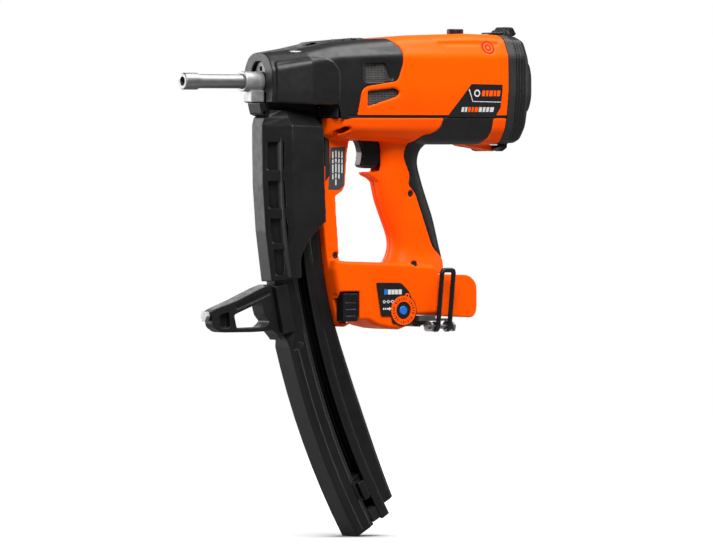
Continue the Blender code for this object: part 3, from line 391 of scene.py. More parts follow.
ORANGE, CHARCOAL = (1.0, 0.088, 0.0004), (0.0100, 0.0097, 0.0097)
FINISHES = {
    "orange_plastic": surface("moulded_orange", ORANGE, 0.36, relief=0.012, drift=0.06, wear_and_edge_highlight=0.06,
                              specular=0.06),
    "black_plastic": surface("moulded_black", CHARCOAL, 0.38, relief=0.02, drift=0.2, wear_and_edge_highlight=0.3,
                             specular=0.26),
    "soft_grip": surface("overmoulded_grip", (0.009, 0.009, 0.0092), 0.46, grain=0.8, relief=0.03, drift=0.2,
                         wear_and_edge_highlight=0.2, specular=0.3),
    "bright_steel": surface("plated_steel", (0.26, 0.26, 0.27), 0.46, 1.0, 0.9, 0.0015, 0.05),
    "cast_metal": surface("cast_aluminium", (0.34, 0.34, 0.34), 0.5, 0.7, 1.1, 0.06, 0.2, 6.0, wear_and_edge_highlight=0.3),
    "dark_steel": surface("blackened_steel", (0.06, 0.06, 0.064), 0.38, 0.85, 0.7, 0.015, 0.25, 12.0,
                          wear_and_edge_highlight=0.3),
    "blue_plastic": surface("button_blue", (0.012, 0.14, 0.62), 0.2, relief=0.003, drift=0.08, coat=0.6),
    "brown_plastic": surface("latch_brown", (0.045, 0.014, 0.009), 0.26, relief=0.006, drift=0.2, coat=0.4),
    "rubber": surface("seal_rubber", (0.012, 0.012, 0.012), 0.6, grain=0.7, relief=0.03, drift=0.2),
    "board_green": surface("lacquered_board", (0.02, 0.16, 0.06), 0.3, grain=1.2, relief=0.03, coat=0.4),
}
GLOSS_BLACK = surface("gloss_black", (0.008, 0.008, 0.008), 0.24, relief=0.004, drift=0.2, wear_and_edge_highlight=0.2,
                      specular=0.35)
TRACK_BLACK = surface("magazine_black", (0.007, 0.007, 0.0072), 0.34, grain=0.6, relief=0.015, drift=0.25,
                      wear_and_edge_highlight=0.3, specular=0.32)
MESH_METAL = surface("woven_wire", (0.17, 0.165, 0.16), 0.45, 0.6, 0.4, 0.01, 0.2, 8.0)
# painted shade: orange plastic coloured as it looks in the shade of a recess
RECESS_SHADE_RED = surface("recess_red", (0.3, 0.012, 0.003), 0.45, relief=0.01, drift=0.1, specular=0.08)
LABEL_BLACK = surface("label_black", (0.009, 0.009, 0.01), 0.3, grain=0.8, relief=0.003, drift=0.15, coat=0.2)
LABEL_GREY = surface("label_grey", (0.05, 0.05, 0.053), 0.4, grain=0.8, relief=0.004, drift=0.1)
PRINT_WHITE = surface("print_white", (0.62, 0.62, 0.62), 0.45, grain=0.6, relief=0.003, drift=0.04)
PRINT_ORANGE = surface("print_orange", (1.0, 0.1, 0.003), 0.4, grain=0.6, relief=0.003, drift=0.05,
                       specular=0.08)
PRINT_BLUE = surface("print_blue", (0.01, 0.16, 0.7), 0.35, grain=0.6, relief=0.003, drift=0.05)


# ---- pieces on the frame

NODE_BODY = {
    node: body for body, nodes in frame["record"]["behaviour"]["bodies"].items() for node in nodes
}
FACE_LIMIT = 180_000  # triangles in one piece
PIECES = {}


def moulded(thing, voxel, rounds):
    """Every edge softened as moulded plastic has it: an even skin, smoothed in a few rounds."""
    remesh = thing.modifiers.new("Even skin", "REMESH")
    remesh.mode, remesh.voxel_size = "VOXEL", voxel * MM
    smooth = thing.modifiers.new("Soft edges", "SMOOTH")
    smooth.factor, smooth.iterations = 0.5, rounds
    settle(thing)
    triangles = 2 * len(thing.data.polygons)
    if triangles > FACE_LIMIT:
        thin = thing.modifiers.new("Thin out", "DECIMATE")
        thin.ratio = FACE_LIMIT / triangles
        settle(thing)
    thing.data.shade_smooth()
    return thing


def eased(thing, width=0.25):
    """The sharp edges of a machined or pressed piece broken by a small bevel."""
    bevel = thing.modifiers.new("Broken edges", "BEVEL")
    bevel.width, bevel.segments, bevel.limit_method = width * MM, 2, "ANGLE"
    bevel.angle_limit = math.radians(35)
    bevel.use_clamp_overlap = True
    settle(thing)
    thing.data.shade_smooth()
    thing.data.set_sharp_from_angle(angle=math.radians(40))
    level = thing.modifiers.new("Level normals", "WEIGHTED_NORMAL")
    level.keep_sharp = True
    return settle(thing)


def finish(thing, slot, voxel=0.8, rounds=5, material=None, edge=0.25):
    """Stands the finished piece in for its node, on the node's body; voxel 0 keeps its own faces."""
    node = thing.name.split(".")[0]
    if voxel:
        moulded(thing, voxel, rounds)
    elif edge:
        eased(thing, edge)
    thing.name = f"{node}_fine"
    thing.data.materials.clear()
    thing.data.materials.append(material or FINISHES[slot])
    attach(thing, NODE_BODY[node])
    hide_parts(node)
    PIECES[node] = thing
    return thing


def trim(thing, slot, material=None, edge=0.0, body="housing"):
    """A printed mark, label or small detail that rides on a body without standing for a node."""
    if edge:
        eased(thing, edge)
    else:
        thing.data.shade_smooth()
        thing.data.set_sharp_from_angle(angle=math.radians(30))
    thing.data.materials.clear()
    thing.data.materials.append(material or FINISHES[slot])
    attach(thing, body)
    return thing


# ---- body shell

UPPER = (
    (93, (9, 30), (20, 25), (27.5, 12), (28, -12), (27, -22)),
    (130, (20, 34.8), (35, 30.2), (46, 20), (46.5, -12), (45, -24)),
    (163, (24, 41), (38, 37), (49, 25), (49.5, -12), (46.5, -25)),
    (166, (24, 41.3), (38, 37.2), (49, 25), (49.5, -12), (46, SEAM_Z)),
    (190, (27, 43.5), (39, 39.5), (50, 26), (50, -12), (46, SEAM_Z)),
    (240, (30, 46.5), (40, 43), (50, 27), (50, -12), (46, SEAM_Z)),
    (292, (30, 50), (40, 46), (50, 27.5), (50, -12), (46, SEAM_Z)),
    (335, (30, 51.5), (40, 47), (50, 27.5), (50, -12), (46, SEAM_Z)),
    (COVER_END, (28, 50.5), (40, 46), (49.5, 27.5), (50, -12), (46, SEAM_Z)),
)
LOWER = (
    (161.5, (25, -48), (22, -55), (17, -57)),
    (172, (42, -48), (33, -56), (25, -58.5)),
    (190, (43, -50), (32, -58.5), (24, -60.5)),
    (250, (43, -50), (33, -60.5), (25, -63)),
    (300, (43, -50), (34, -62.5), (26, -65.6)),
    (COVER_END, (43, -50), (33, -63), (26, -65.6)),
)
TOP_HALF = {161.5: 26.0, 172: 44.0}  # the seam's half width where the housing starts


def upper_ring(row, inset, floor):
    x, corners = row[0], list(row[1:])
    outline = offset(mirrored(corners), -inset) if inset else mirrored(corners)
    if floor is not None:
        for k in (len(corners) - 1, len(corners)):
            outline[k] = (outline[k][0], floor)
    return [(x, y, z) for y, z in rounded(outline, [4, 6, 3.5, 9, 1.2, 1.2, 9, 3.5, 6, 4], 2)]


def stretched(rings, ends):
    """The first and the last ring moved outwards along X."""
    rings[0] = [(x - ends[0], y, z) for x, y, z in rings[0]]
    rings[-1] = [(x + ends[1], y, z) for x, y, z in rings[-1]]
    return rings


def upper_loft(inset=0.0, floor=None, rows=UPPER, ends=(0, 0), name="tool"):
    return loft(stretched([upper_ring(row, inset, floor) for row in rows], ends), name=name)


def lower_ring(row, inset, lid):
    x, corners = row[0], list(row[1:])
    outline = mirrored([(TOP_HALF.get(x, 46.0), SEAM_Z - GAP)] + corners)
    if inset:
        outline = offset(outline, -inset)
        (top_y, top_z), (side_y, side_z) = outline[:2]
        reach = side_y + (top_y - side_y) * (lid - side_z) / (top_z - side_z)
        outline[0], outline[-1] = (reach, lid), (-reach, lid)
    return [(x, y, z) for y, z in rounded(outline, [0, 4, 5, 3, 3, 5, 4, 0], 2)]


def lower_loft(inset=0.0, lid=SEAM_Z - GAP, ends=(0, 0)):
    return loft(stretched([lower_ring(row, inset, lid) for row in LOWER], ends))


SHROUD_EDGE = rounded(
    [
        (60, 80), (232.5, 80), (232.5, 45), (242, 34), (241.5, 20), (235, 1), (196, -4.5),
        (190, -9), (188, -22), (181.5, -60), (60, -60),
    ],
    [0, 0, 3, 3, 3, 5, 4, 3, 2, 0, 0],
    2,
)
WINDOW_UPPER = rounded([(195, 18.5), (220, 20), (227, 3.5), (222, 2), (195, 2)], [2, 3, 2, 2, 2])
WINDOW_LOWER = rounded([(198, -10), (232, -6.5), (238, -11), (235, -15), (199, -25.5)], [2, 3, 3, 3, 2])


def hollow(shell):
    return cut(shell, upper_loft(WALL, -80, ends=(-WALL, 10)))


SHROUD_SCREWS = {"shroud_screw_front": 186, "shroud_screw_rear": 208}


def side_panels():
    """Two flat pads that stand proud on the sides of the shroud."""
    pad = upper_loft(-1.6, rows=UPPER[:4])
    panel = [(97, -21), (97, 20), (129, 25.5), (152, 23), (162, 12), (162, -22.6), (130, -22)]
    keep(pad, prism(rounded(panel, [1, 3, 4, 8, 8, 2, 1]), -70, 70))
    return cut(pad, upper_loft(1.0, rows=UPPER[:4], ends=(-2, -1)))


def nose_shroud():
    shroud = keep(upper_loft(name="nose_shroud"), prism(SHROUD_EDGE, -70, 70))
    fuse(shroud, side_panels())
    rib = [(118, 30), (126, 34.6), (141, 36.8), (150, 40), (153, 41.6), (214, 46.6), (232, 43), (232, 38)]
    fuse(shroud, prism(rib, -11, 11))
    hollow(shroud)
    window = [(-15, -30), (-15, 6), (-11, 16), (-5, 21), (5, 21), (11, 16), (15, 6), (15, -30)]
    cut(shroud, prism(rounded(window, 3, 2), 80, 99, "X"))
    cut(shroud, prism(WINDOW_UPPER, -70, 70))  # vents
    for side, _ in SIDES:
        cut(shroud, block((118, 129), span(side, 20, 29), (31.2, 40)))  # clip recess
        for pocket in ([(142, 36.4), (157, 37.6), (157, 41.2), (150, 39.4), (144, 38.2)],
                       [(199, 40.2), (214, 40.8), (207, 44.9), (201, 44.6)]):
            cut(shroud, prism(pocket, *span(side, 6.5, 14)))
    for start, end, reach in ((156, 170, 6), (180, 191, 13), (202, 213, 6)):
        cut(shroud, block((start, end), (-reach, 6), (42.2, 60)))  # top pockets
    frame_cut = prism(offset(WINDOW_UPPER, 3.0), -70, 70)
    cut(shroud, cut(frame_cut, upper_loft(1.3, ends=(20, 20))))
    for x in SHROUD_SCREWS.values():
        cut(shroud, disc(1.9, 30, 60, (x, 0), "Z", 12))
    return finish(shroud, "black_plastic")


def icon_ring(inner, outer, low, high, name="tool"):
    """A ring, or a disc where inner is 0, square to the cover's upper bevel on the near side."""
    centre, normal = Vector((351.7, -45.0, 37.0)), Vector((0.0, -0.885, 0.466))
    across, up = Vector((1.0, 0.0, 0.0)), Vector((0.0, 0.466, 0.885))
    corners = ((low, inner), (low, outer), (high, outer), (high, inner))
    turns = [2 * math.pi * k / 48 for k in range(48)]
    rings = [
        [centre + normal * distance + (across * math.cos(t) + up * math.sin(t)) * radius for t in turns]
        for distance, radius in corners if radius
    ]
    return loft(rings, closed=inner > 0, name=name)


def upper_cover():
    cover = cut(hollow(upper_loft(name="upper_cover")), prism(offset(SHROUD_EDGE, GAP), -70, 70))
    frame_cut = prism(offset(WINDOW_LOWER, 1.5), -70, 70)
    cut(cover, cut(frame_cut, upper_loft(1.1, ends=(20, 20))))
    band = [(293, 30), (286, 48.5), (288, 60), (366, 60), (366, 39.5), (362, 38.2), (297, 38.2)]
    band_cut = prism(band, -47.6, -41.2)
    cut(cover, cut(band_cut, upper_loft(1.5, ends=(20, 20))))
    cut(cover, prism(WINDOW_LOWER, -70, 70))  # vents
    cut(cover, icon_ring(0, 8.6, -0.9, 6))  # icon recess
    cut(cover, disc(10.2, 48.9, 70, (KNOB_X, 0), "Z", 20))  # knob recess and hole
    cut(cover, disc(3.3, 30, 70, (KNOB_X, 0), "Z", 12))
    fuse(cover, block((255, 258), (-7, 7), (31.7, 46.5)))  # stop for the return spring
    return finish(cover, "orange_plastic")


def full_outline(scale=1.0, inset=0.0):
    """The whole section at the rear of the body, as (Y, Z)."""
    outline = mirrored([*UPPER[-1][1:5], (46, SEAM_Z), *LOWER[-1][1:]])
    if inset:
        outline = offset(outline, -inset)
    outline, middle = rounded(outline, 4, 2), -7.5
    return [(y * scale, middle + (z - middle) * scale) for y, z in outline]


def rear_gasket():
    gasket = prism(full_outline(), COVER_END + GAP, CAP_START - GAP, "X", name="rear_gasket")
    cut(gasket, prism(full_outline(inset=6), 370, 390, "X"))
    return finish(gasket, "rubber", 0, edge=0.6)


def rear_cap():
    rings = ((CAP_START, 0.985), (397, 0.975), (401.5, 0.94), (404, 0.88))
    cap = loft([[(x, y, z) for y, z in full_outline(s)] for x, s in rings], name="rear_cap")
    bulge = [(34, 26), (40, 12), (40, -20), (32, -36)]
    outline = rounded(mirrored(bulge), 9, 2)
    steps = ((400, 1.0), (408, 0.97), (413, 0.9), (416, 0.8))
    fuse(cap, loft([[(x, y * s, -5 + (z + 5) * s) for y, z in outline] for x, s in steps]))
    cut(cap, prism(full_outline(inset=6.5), 380, 397, "X"))  # hollow
    for x in (387.5, 391.0, 394.5):
        groove = prism(full_outline(1.1), x, x + 1.2, "X")
        cut(cap, cut(groove, prism(full_outline(0.962), x - 1, x + 2, "X")))
    cut(cap, block((392, 412), (-9.6, 9.6), (45.5, 60)))  # room for the latch
    ear = [(393, 44), (393.5, 53), (396, 56.5), (402, 56.5), (404, 53), (404, 40)]
    for side, _ in SIDES:
        fuse(cap, prism(rounded(ear, 2, 2), *span(side, 9.6, 13)))
    cut(cap, disc(2.1, -20, 20, LATCH_PIVOT, "Y", 12))  # latch pin
    knuckle = [(377.5, -71.5), (377.5, -68), (380, -66.3), (384.6, -66.2), (386, -62), (390, -60), (389, -69),
               (383, -73)]
    for side, _ in SIDES:
        fuse(cap, prism(rounded(knuckle, 1, 2), *span(side, 14, 26)))
    cut(cap, disc(1.6, -30, 30, CAP_PIVOT, "Y", 12))  # hinge pin
    return finish(cap, "black_plastic", 0.7, 4)


def cap_latch():
    outline = [(378.5, 51.6), (379, 53.4), (394, 53.8), (397.4, 58.8), (399.5, 59.4), (408, 59.2),
               (412.5, 51.8), (409, 49.3), (396, 49), (387, 51.6)]
    latch = pillow(rounded(outline, [0.5, 1, 2, 2, 2, 2, 1, 2, 2, 1]), -9.2, 9.2, 1.2, name="cap_latch")
    for x in (400.6, 404.4):
        cut(latch, block((x, x + 1.5), (-12, 12), (57.2, 62)))
    cut(latch, disc(2.1, -20, 20, LATCH_PIVOT, "Y", 12))
    return finish(latch, "black_plastic", 0.5)


# ---- handle

GRIP = (
    (-48, 232, 312, 24), (-60, 236, 304, 23), (-66, 237, 296, 20.5), (-73, 238, 289.5, 18.5),
    (-85, 238, 287, 17.5), (-100, 235.5, 291, 17.5), (-113, 237.5, 295.5, 17.5), (-126, 241, 300.5, 17.5),
    (-142, 247.5, 306.5, 17.5), (-160, 255, 311.5, 17.5), (-172, 257, 314.5, 18), (-182, 255, 317, 19.5),
    (-191, 251, 318.5, 23), (-202, 245, 318, 26.5),
)
PAD = [
    (297, -30), (359, -30), (357.5, -58), (352, -62), (349, -80), (340, -200), (325, -196), (316, -186),
    (301, -175), (278.5, -116), (269.5, -108), (272, -98), (267, -87), (263, -77), (265.5, -66),
    (270, -59.5), (276, -55.5), (282, -55.5), (288, -52.3), (294, -46),
]
PAD_RADII = [0, 0, 3, 2, 2, 0, 4, 2, 6, 6, 3, 4, 5, 5, 5, 4, 4, 4, 4, 3]
HAND_SIDE = [(197, -56), (193.5, -75), (191, -108), (188, -114), (179, -119.5), (180, -138), (182, -163),
             (185, -204)]


def between(rows, steps):
    """Rows of numbers with smooth curves drawn through them."""
    made = []
    for i in range(len(rows) - 1):
        before, here, after, next_after = (rows[max(0, min(len(rows) - 1, i + k))] for k in (-1, 0, 1, 2))
        for k in range(steps):
            t = k / steps
            made.append(tuple(
                0.5 * (2 * b + (c - a) * t + (2 * a - 5 * b + 4 * c - d) * t * t
                       + (3 * b - a - 3 * c + d) * t ** 3)
                for a, b, c, d in zip(before, here, after, next_after)
            ))
    return made + [tuple(rows[-1])]


def grip_loft(inset=0.0, ends=(0, 0)):
    rings = []
    for z, front, rear, half in between(GRIP, 4):
        middle, depth, width = (front + rear) / 2, (rear - front) / 2 - inset, half - inset
        turns = [2 * math.pi * k / 60 for k in range(60)]
        rings.append([
            (
                middle + depth * math.copysign(abs(math.cos(t)) ** SQUARENESS, math.cos(t)),
                width * math.copysign(abs(math.sin(t)) ** SQUARENESS, math.sin(t)),
                z,
            )
            for t in turns
        ])
    rings[0] = [(x, y, z + ends[0]) for x, y, z in rings[0]]
    rings[-1] = [(x, y, z - ends[1]) for x, y, z in rings[-1]]
    return loft(rings)


def base_outline(inset):
    points = arc(SPINE_R, arc_angle(SPINE_R, -196), arc_angle(SPINE_R, -257), 3)
    points += [(190, -254), (197, -250.5), (213, -250.5), (224, -256), (238, -259), (252, -260.3),
               (262, -257), (270, -245.5), (298, -244.5), (301, -240), (301, -198), (297, -193.5),
               (250, -190), (186, -188), (171.5, -186)]
    return offset(points, -inset) if inset else points


def spine_outline():
    points = arc(SPINE_R, arc_angle(SPINE_R, -89), arc_angle(SPINE_R, -200), 8)
    return points + [tuple(p) for p in reversed(HAND_SIDE)] + [(166.5, -50), (166.5, -88.6)]


def base_prism():
    """The base with its long edges cut back in two steps."""
    half = ((BASE_HALF, 3.0), (BASE_HALF - 1.6, 1.08), (BASE_HALF - 5, 0.0))
    rings = [(-y, inset) for y, inset in half] + list(reversed(half))
    return loft([[(x, y, z) for x, z in base_outline(inset)] for y, inset in rings])


TEARDROP = rounded([(166, -53), (173, -47), (180, -46.5), (183, -49.5), (178, -53), (169, -55.5)], 2, 2)


def housing_body():
    """Both halves of the handle in one piece, hollow, before they are parted at Y = 0."""
    whole = lower_loft()
    fuse(whole, grip_loft())
    cut(whole, prism(offset(rounded(PAD, PAD_RADII, 2), GAP), -80, 80))  # grip pads' recess
    fuse(whole, lower_loft(PAD_DEPTH + GAP, SEAM_Z - 0.5, ends=(-2, -1)))
    fuse(whole, grip_loft(PAD_DEPTH + GAP, ends=(-2, 0)))
    fuse(whole, base_prism())
    fuse(whole, prism(spine_outline(), -15.5, 15.5))
    ledge = [(222.5, -94.6), (244, -94.0), (246, -105), (238, -106), (233.5, -101.5), (225, -98)]
    fuse(whole, prism(rounded(ledge, [2, 1, 1, 3, 3, 2], 2), -9.5, 9.5))
    cut(whole, lower_loft(5.2, 20, ends=(-5, 10)))  # hollow
    cut(whole, block((150, 166.4), (-14.4, 14.4), (-90, -30)))  # magazine dock
    cut(whole, grip_loft(5.4, ends=(10, 4)))  # hollow
    cut(whole, block((189, 256), (-25, 25), (-247, -194)))  # hollow
    cut(whole, block((250, 310), (-21.5, 21.5), (-241, -202.5)))  # battery
    trigger_slot = [(206, -50), (206, -62), (214, -76), (214, -93.6), (240, -93.6), (262, -80), (262, -50)]
    cut(whole, prism(trigger_slot, -7.8, 7.8))
    cut(whole, block((176.6, 201), (-40, -14), (-252.5, -219.6)))  # magazine release
    cut(whole, disc(9.6, -40, -20, DIAL, "Y", 20))  # level button
    for side, _ in SIDES:
        cut(whole, prism(TEARDROP, *span(side, 29, 60)))
    cut(whole, disc(2.3, -16, 16, TRIGGER_PIVOT, "Y", 12))  # trigger pin
    hinge_boss = rounded([(338, -63.5), (373, -63.5), (375, -66.2), (384, -66.2), (384.5, -70.5), (381, -73),
                          (375, -71.6), (362, -69.2), (348, -67.4)], 1, 2)
    fuse(whole, prism(hinge_boss, -12.6, 12.6))
    cut(whole, disc(1.9, -20, 20, CAP_PIVOT, "Y", 12))  # hinge pin
    return whole


SCREWS = {
    "housing_screw_spine": (179.3, -181.6, 15.5),
    "housing_screw_base": (273.0, -191.0, 24.0),
    "housing_screw_grip": (272.5, -117.5, 16.5),
}


def housing_side(name, side, body):
    half = keep(block((120, 420), span(side, GAP / 2, 90), (-300, -20), name=name), body)
    for x, z, head in SCREWS.values():
        cut(half, disc(1.9, -60, 60, (x, z), "Y", 10))
        cut(half, disc(3.7, -60, 3.5 - head, (x, z), "Y", 12))
    if side < 0:
        cut(half, disc(4.0, -214, -180, (284, -7), "Z", 12))  # way for the wires
    return finish(half, "orange_plastic", 0.9, 6)


def housing_screw(name):
    x, z, head = SCREWS[name]
    profile = [(1.2 - head, 0), (1.2 - head, 3.4), (3.2 - head, 3.4), (3.2 - head, 1.5), (head - 4, 1.5),
               (head - 4, 0)]
    screw = turned(profile, (x, z), "Y", 12, name=name)
    return finish(cut(screw, disc(1.5, -head, 2.4 - head, (x, z), "Y", 6)), "dark_steel", 0)


def grip_pad(name, side, skin):
    pad = keep(block((240, 380), span(side, GAP / 2, 90), (-210, -20), name=name), skin)
    return finish(pad, "soft_grip")


def pad_body():
    skin = fuse(lower_loft(), grip_loft())
    keep(skin, prism(rounded(PAD, PAD_RADII, 2), -80, 80))
    cut(skin, lower_loft(PAD_DEPTH, 20, ends=(5, 5)))
    cut(skin, grip_loft(PAD_DEPTH, ends=(5, 0)))
    return skin


def trigger():
    outline = [
        (208, -56), (212, -59), (216.5, -67), (218.5, -75), (217.5, -82), (216, -87.2), (218.5, -89.8),
        (226, -90.7), (236, -90.7), (241, -84), (246, -72), (248, -58), (244, -48.5), (230, -47.5),
        (212, -52),
    ]
    blade = pillow(rounded(outline, 2.5, 2), -7.4, 7.4, 3.2, name="trigger")
    cut(blade, disc(2.3, -20, 20, TRIGGER_PIVOT, "Y", 12))
    return finish(blade, "black_plastic", 0.5, 6, GLOSS_BLACK)


def control_panel():
    outline = [(221, -210.5), (252, -211), (262, -220), (268, -233), (268.5, -240), (262, -254), (241, -254),
               (240, -246), (227, -246)]
    panel = prism(rounded(outline, [2, 3, 4, 3, 3, 5, 3, 1, 2]), -29.6, -BASE_HALF - GAP,
                  name="control_panel")
    cut(panel, disc(15.8, -40, -20, DIAL, "Y", 28))
    fuse(panel, ring(15.6, 16.7, -29.6, -BASE_HALF - GAP, DIAL, "Y", 28))
    finish(panel, "black_plastic", 0, material=LABEL_BLACK)
    bezel = ring(9.3, 15.4, -30.4, -BASE_HALF - GAP, DIAL, "Y", 28, name="dial_bezel")
    tab = (DIAL[0] + 4.7, DIAL[1] + 15.4)
    fuse(bezel, disc(2.7, -30.4, -BASE_HALF - GAP, tab, "Y", 10))
    cut(bezel, disc(1.2, -32, -20, tab, "Y", 8))
    finish(bezel, "orange_plastic", 0, edge=0.35)
    profile = [(-30.6, 0), (-30.6, 4.2), (-30.0, 4.6), (-29.4, 4.6), (-29.4, 8.9), (-24.5, 8.9), (-24.5, 0)]
    button = finish(turned(profile, DIAL, "Y", 20, name="level_button"), "blue_plastic", 0)
    button.data.materials.append(LABEL_BLACK)
    middle = (Vector((DIAL[0], 0, DIAL[1])) - GRIP_MIDDLE) * MM
    for face in button.data.polygons:
        away = Vector((face.center.x - middle.x, face.center.z - middle.z)).length
        face.material_index = int(away > 4.75 * MM)


def battery():
    inner = block((262.5, 302), (-21, 21), (-240.6, -203), name="battery_pack")
    outer = rounded([(301.4, -202.6), (343, -203.5), (353, -212), (353, -242), (348, -248.8), (301.4, -246)],
                    [1, 6, 8, 5, 4, 2], 3)
    fuse(inner, prism(outer, -22, 22))
    cut(inner, block((306, 309), (-30, 30), (-206.5, -195)))
    finish(inner, "orange_plastic")
    outline = rounded([(270.5, -250.5), (273, -246.2), (292, -246.2), (293.5, -250), (286, -258),
                       (276, -257.5)], 2, 2)
    latch = prism(outline, -17, 17, name="battery_latch")
    for index in range(3):
        cut(latch, block((289 - 4 * index, 290.6 - 4 * index), (-20, 20), (-262, -254.6 - 0.5 * index)))
    finish(latch, "brown_plastic", 0.5)


def belt_hook():
    y, bottom, top, lean, corner = -38.0, -257.5, -198.0, 5.4, 2.6
    front, rear = 293, 307.4
    route = [(front, bottom), (front + lean * 0.96, top - corner), (front + lean + 0.7, top - 0.7),
             (front + lean + corner, top), (rear + lean - corner, top), (rear + lean - 0.7, top - 0.7),
             (rear + lean * 0.96, top - corner), (rear, bottom)]
    hook = bent_rod([(x, y, z) for x, z in route], 2.6, 16, name="belt_hook")
    for x in (front, rear):
        fuse(hook, disc(5.6, x - 2.4, x + 2.4, HOOK_PIVOT, "X", 16))
    cut(hook, disc(2.7, 280, 320, HOOK_PIVOT, "X", 12))
    finish(hook, "black_plastic", 0.5, 3, GLOSS_BLACK)
    finish(disc(2.4, 282.5, 317.5, HOOK_PIVOT, "X", 12, name="hook_pin"), "bright_steel", 0)
    bracket = block((276, 317), (-27.5, -18.5), (-251.6, -249.2), name="hook_bracket")
    fuse(bracket, block((276, 297), (-27.5, -18.5), (-250, -245.8)))
    for x in (285, 312.6):
        ear = rounded([(-27, -251), (-27, -249.4), (-19, -249.4), (-24, -262.5), (-38, -262.5), (-38, -254)],
                      [0, 0, 0, 3, 3, 3], 2)
        fuse(bracket, prism(ear, x, x + 2.6, "X"))
    cut(bracket, disc(2.7, 280, 320, HOOK_PIVOT, "X", 12))
    finish(bracket, "bright_steel", 0)


def magazine_release():
    outline = rounded([(178, -221.6), (196.5, -221.6), (196.5, -250.8), (178, -250.8)], 1.5, 2)
    release = prism(outline, -31.5, -18.5, name="magazine_release")
    for index in range(3):
        z = -228 - 7 * index
        cut(release, block((181, 193.5), (-33, -30.3), (z - 3.4, z)))
    finish(release, "black_plastic", 0.45, 5, GLOSS_BLACK)


# ---- magazine


def ring_point(radius, y, degrees):
    x, z = on_arc(radius, degrees)
    return (x, y, z)


def swept(section, start, end, steps, name="tool"):
    """A (radius, Y) section carried along the magazine's arc between two angles."""
    steps *= FINE
    turns = [start + (end - start) * k / steps for k in range(steps + 1)]
    return loft([[ring_point(radius, y, degrees) for radius, y in section] for degrees in turns], name=name)


def strip(inner, outer, y_low, y_high):
    return [(inner, y_low), (outer, y_low), (outer, y_high), (inner, y_high)]


def mirrored_rows(half):
    """A half section of (radius, Y) from rear to front, and its mirror image from front to rear."""
    return half + [(radius, -y) for radius, y in reversed(half)]


def magazine_body():
    side = [(752, 12.4), (752, 15), (757, 16), (766, 16), (767.5, 14.8), (778, 14.8), (779.5, 16)]
    narrow, wide = [(790, 16), (798.6, 8.5)], [(797.4, 16), (799, 14.6)]  # inside the guard, and below it
    inner = [(795, 6.5), (788, 12.0), (758, 12.4)]
    rings = []
    for degrees in [-1.5 + 1.9 * k for k in range(8)] + [13.9, 14.9] + [16.5 + 2 * k for k in range(8)]:
        outer = mirrored_rows(side + (narrow if degrees < 14.5 else wide))
        section = outer + [(r, -y) for r, y in reversed(inner)] + inner
        rings.append([ring_point(r, y, degrees) for r, y in section])
    body = loft(rings, name="magazine_body")
    cut(body, swept(strip(763.5, 774.5, -30, -8), 3.0, 31, 14))
    for side, _ in SIDES:
        fuse(body, swept(strip(790.5, 796.5, *span(side, 14.9, 17.0)), 15.2, 30.2, 12))
        fuse(body, disc(2.2, *span(side, 14.9, 17.0), on_arc(786, 14.9), "Y", 8))
    finish(body, "black_plastic", 0.8, 4, TRACK_BLACK)
    for side, name in SIDES:
        teeth = [swept(strip(774.8, 777.8, *span(side, 14.5, 15.1)), 3 + 0.2 * k, 3.1 + 0.2 * k, 1)
                 for k in range(135)]
        trim(grouped(f"magazine_teeth_{name}", teeth), "black_plastic", TRACK_BLACK, body="magazine")


def magazine_rail():
    """The rear edge stands a little further out below the handle's base."""
    rings = []
    for degrees in [-1.4 + 31.0 * k / 16 for k in range(17)]:
        out = 5.5 * math.sin(math.pi * min(max((degrees - 13) / 17, 0), 1))
        half = [(738 - out, 4), (738 - out, 10.5), (742 - out, 13), (751.7, 13), (751.7, 3.4), (747, 3.4)]
        rings.append([ring_point(r, y, degrees) for r, y in mirrored_rows(half)])
    rail = loft(rings, name="magazine_rail")
    for side, _ in SIDES:
        fuse(rail, swept(strip(749, 758.2, *span(side, 9.8, 12.1)), -1.3, 29.4, 16))
    finish(rail, "black_plastic", 0.8, 4, TRACK_BLACK)


def magazine_guard():
    """Shell over the front and both sides of the magazine's upper half, wider than the track."""
    # degrees below level, half width of the sides, half width of the front band, front radius, rear radius
    rows = ((-3.15, 21, 11, 800.5, 752), (-2.55, 27, 10.5, 801.5, 748), (-1.9, 36, 10, 804, 744.5),
            (-0.9, 37.5, 10, 803.5, 744), (2.5, 37.5, 10, 803.5, 744), (6.0, 35.5, 10, 803.5, 744),
            (9.8, 30, 10, 803.5, 744))
    rings = []
    for degrees, wide, band, front, rear in rows:
        outer = [(rear, wide), (783, wide), (front, band), (front, -band), (783, -wide), (rear, -wide)]
        inner = [(rear, 2.6 - wide), (781.6, 2.6 - wide), (front - 2.9, 1.2 - band),
                 (front - 2.9, band - 1.2), (781.6, wide - 2.6), (rear, wide - 2.6)]
        rings.append([ring_point(radius, y, degrees) for radius, y in outer + inner])
    guard = loft(rings, name="magazine_guard")
    cut(guard, block((60, 170), (-12.6, 12.6), (-37.2, -10)))
    edge = [(128, -215), (127.5, -200), (125.5, -184), (133, -167), (143, -156), (153, -147), (175, -140),
            (175, -215)]
    cut(guard, prism(rounded(edge, [0, 3, 6, 6, 6, 3, 0, 0]), -60, 60))
    for top, bottom in ((-63, -92), (-104, -132), (-143, -168), (-175, -202)):
        for side, _ in SIDES:
            cut(guard, block((60, 112), span(side, 13.5, 29), (bottom, top)))
    finish(guard, "black_plastic")
    for side, name in SIDES:
        trim(swept(strip(788.8, 791.2, *span(side, 16.7, 27)), -1.0, 9.6, 8, name=f"guard_pocket_{name}"),
             "black_plastic", body="magazine")


def magazine_stop():
    stop = swept(strip(752.6, 788, -11, 11), 29.3, 30.3, 1, name="magazine_stop")
    fuse(stop, swept(strip(764, 774, -15.5, -8), 29.3, 30.3, 1))
    return finish(stop, "black_plastic", 0)


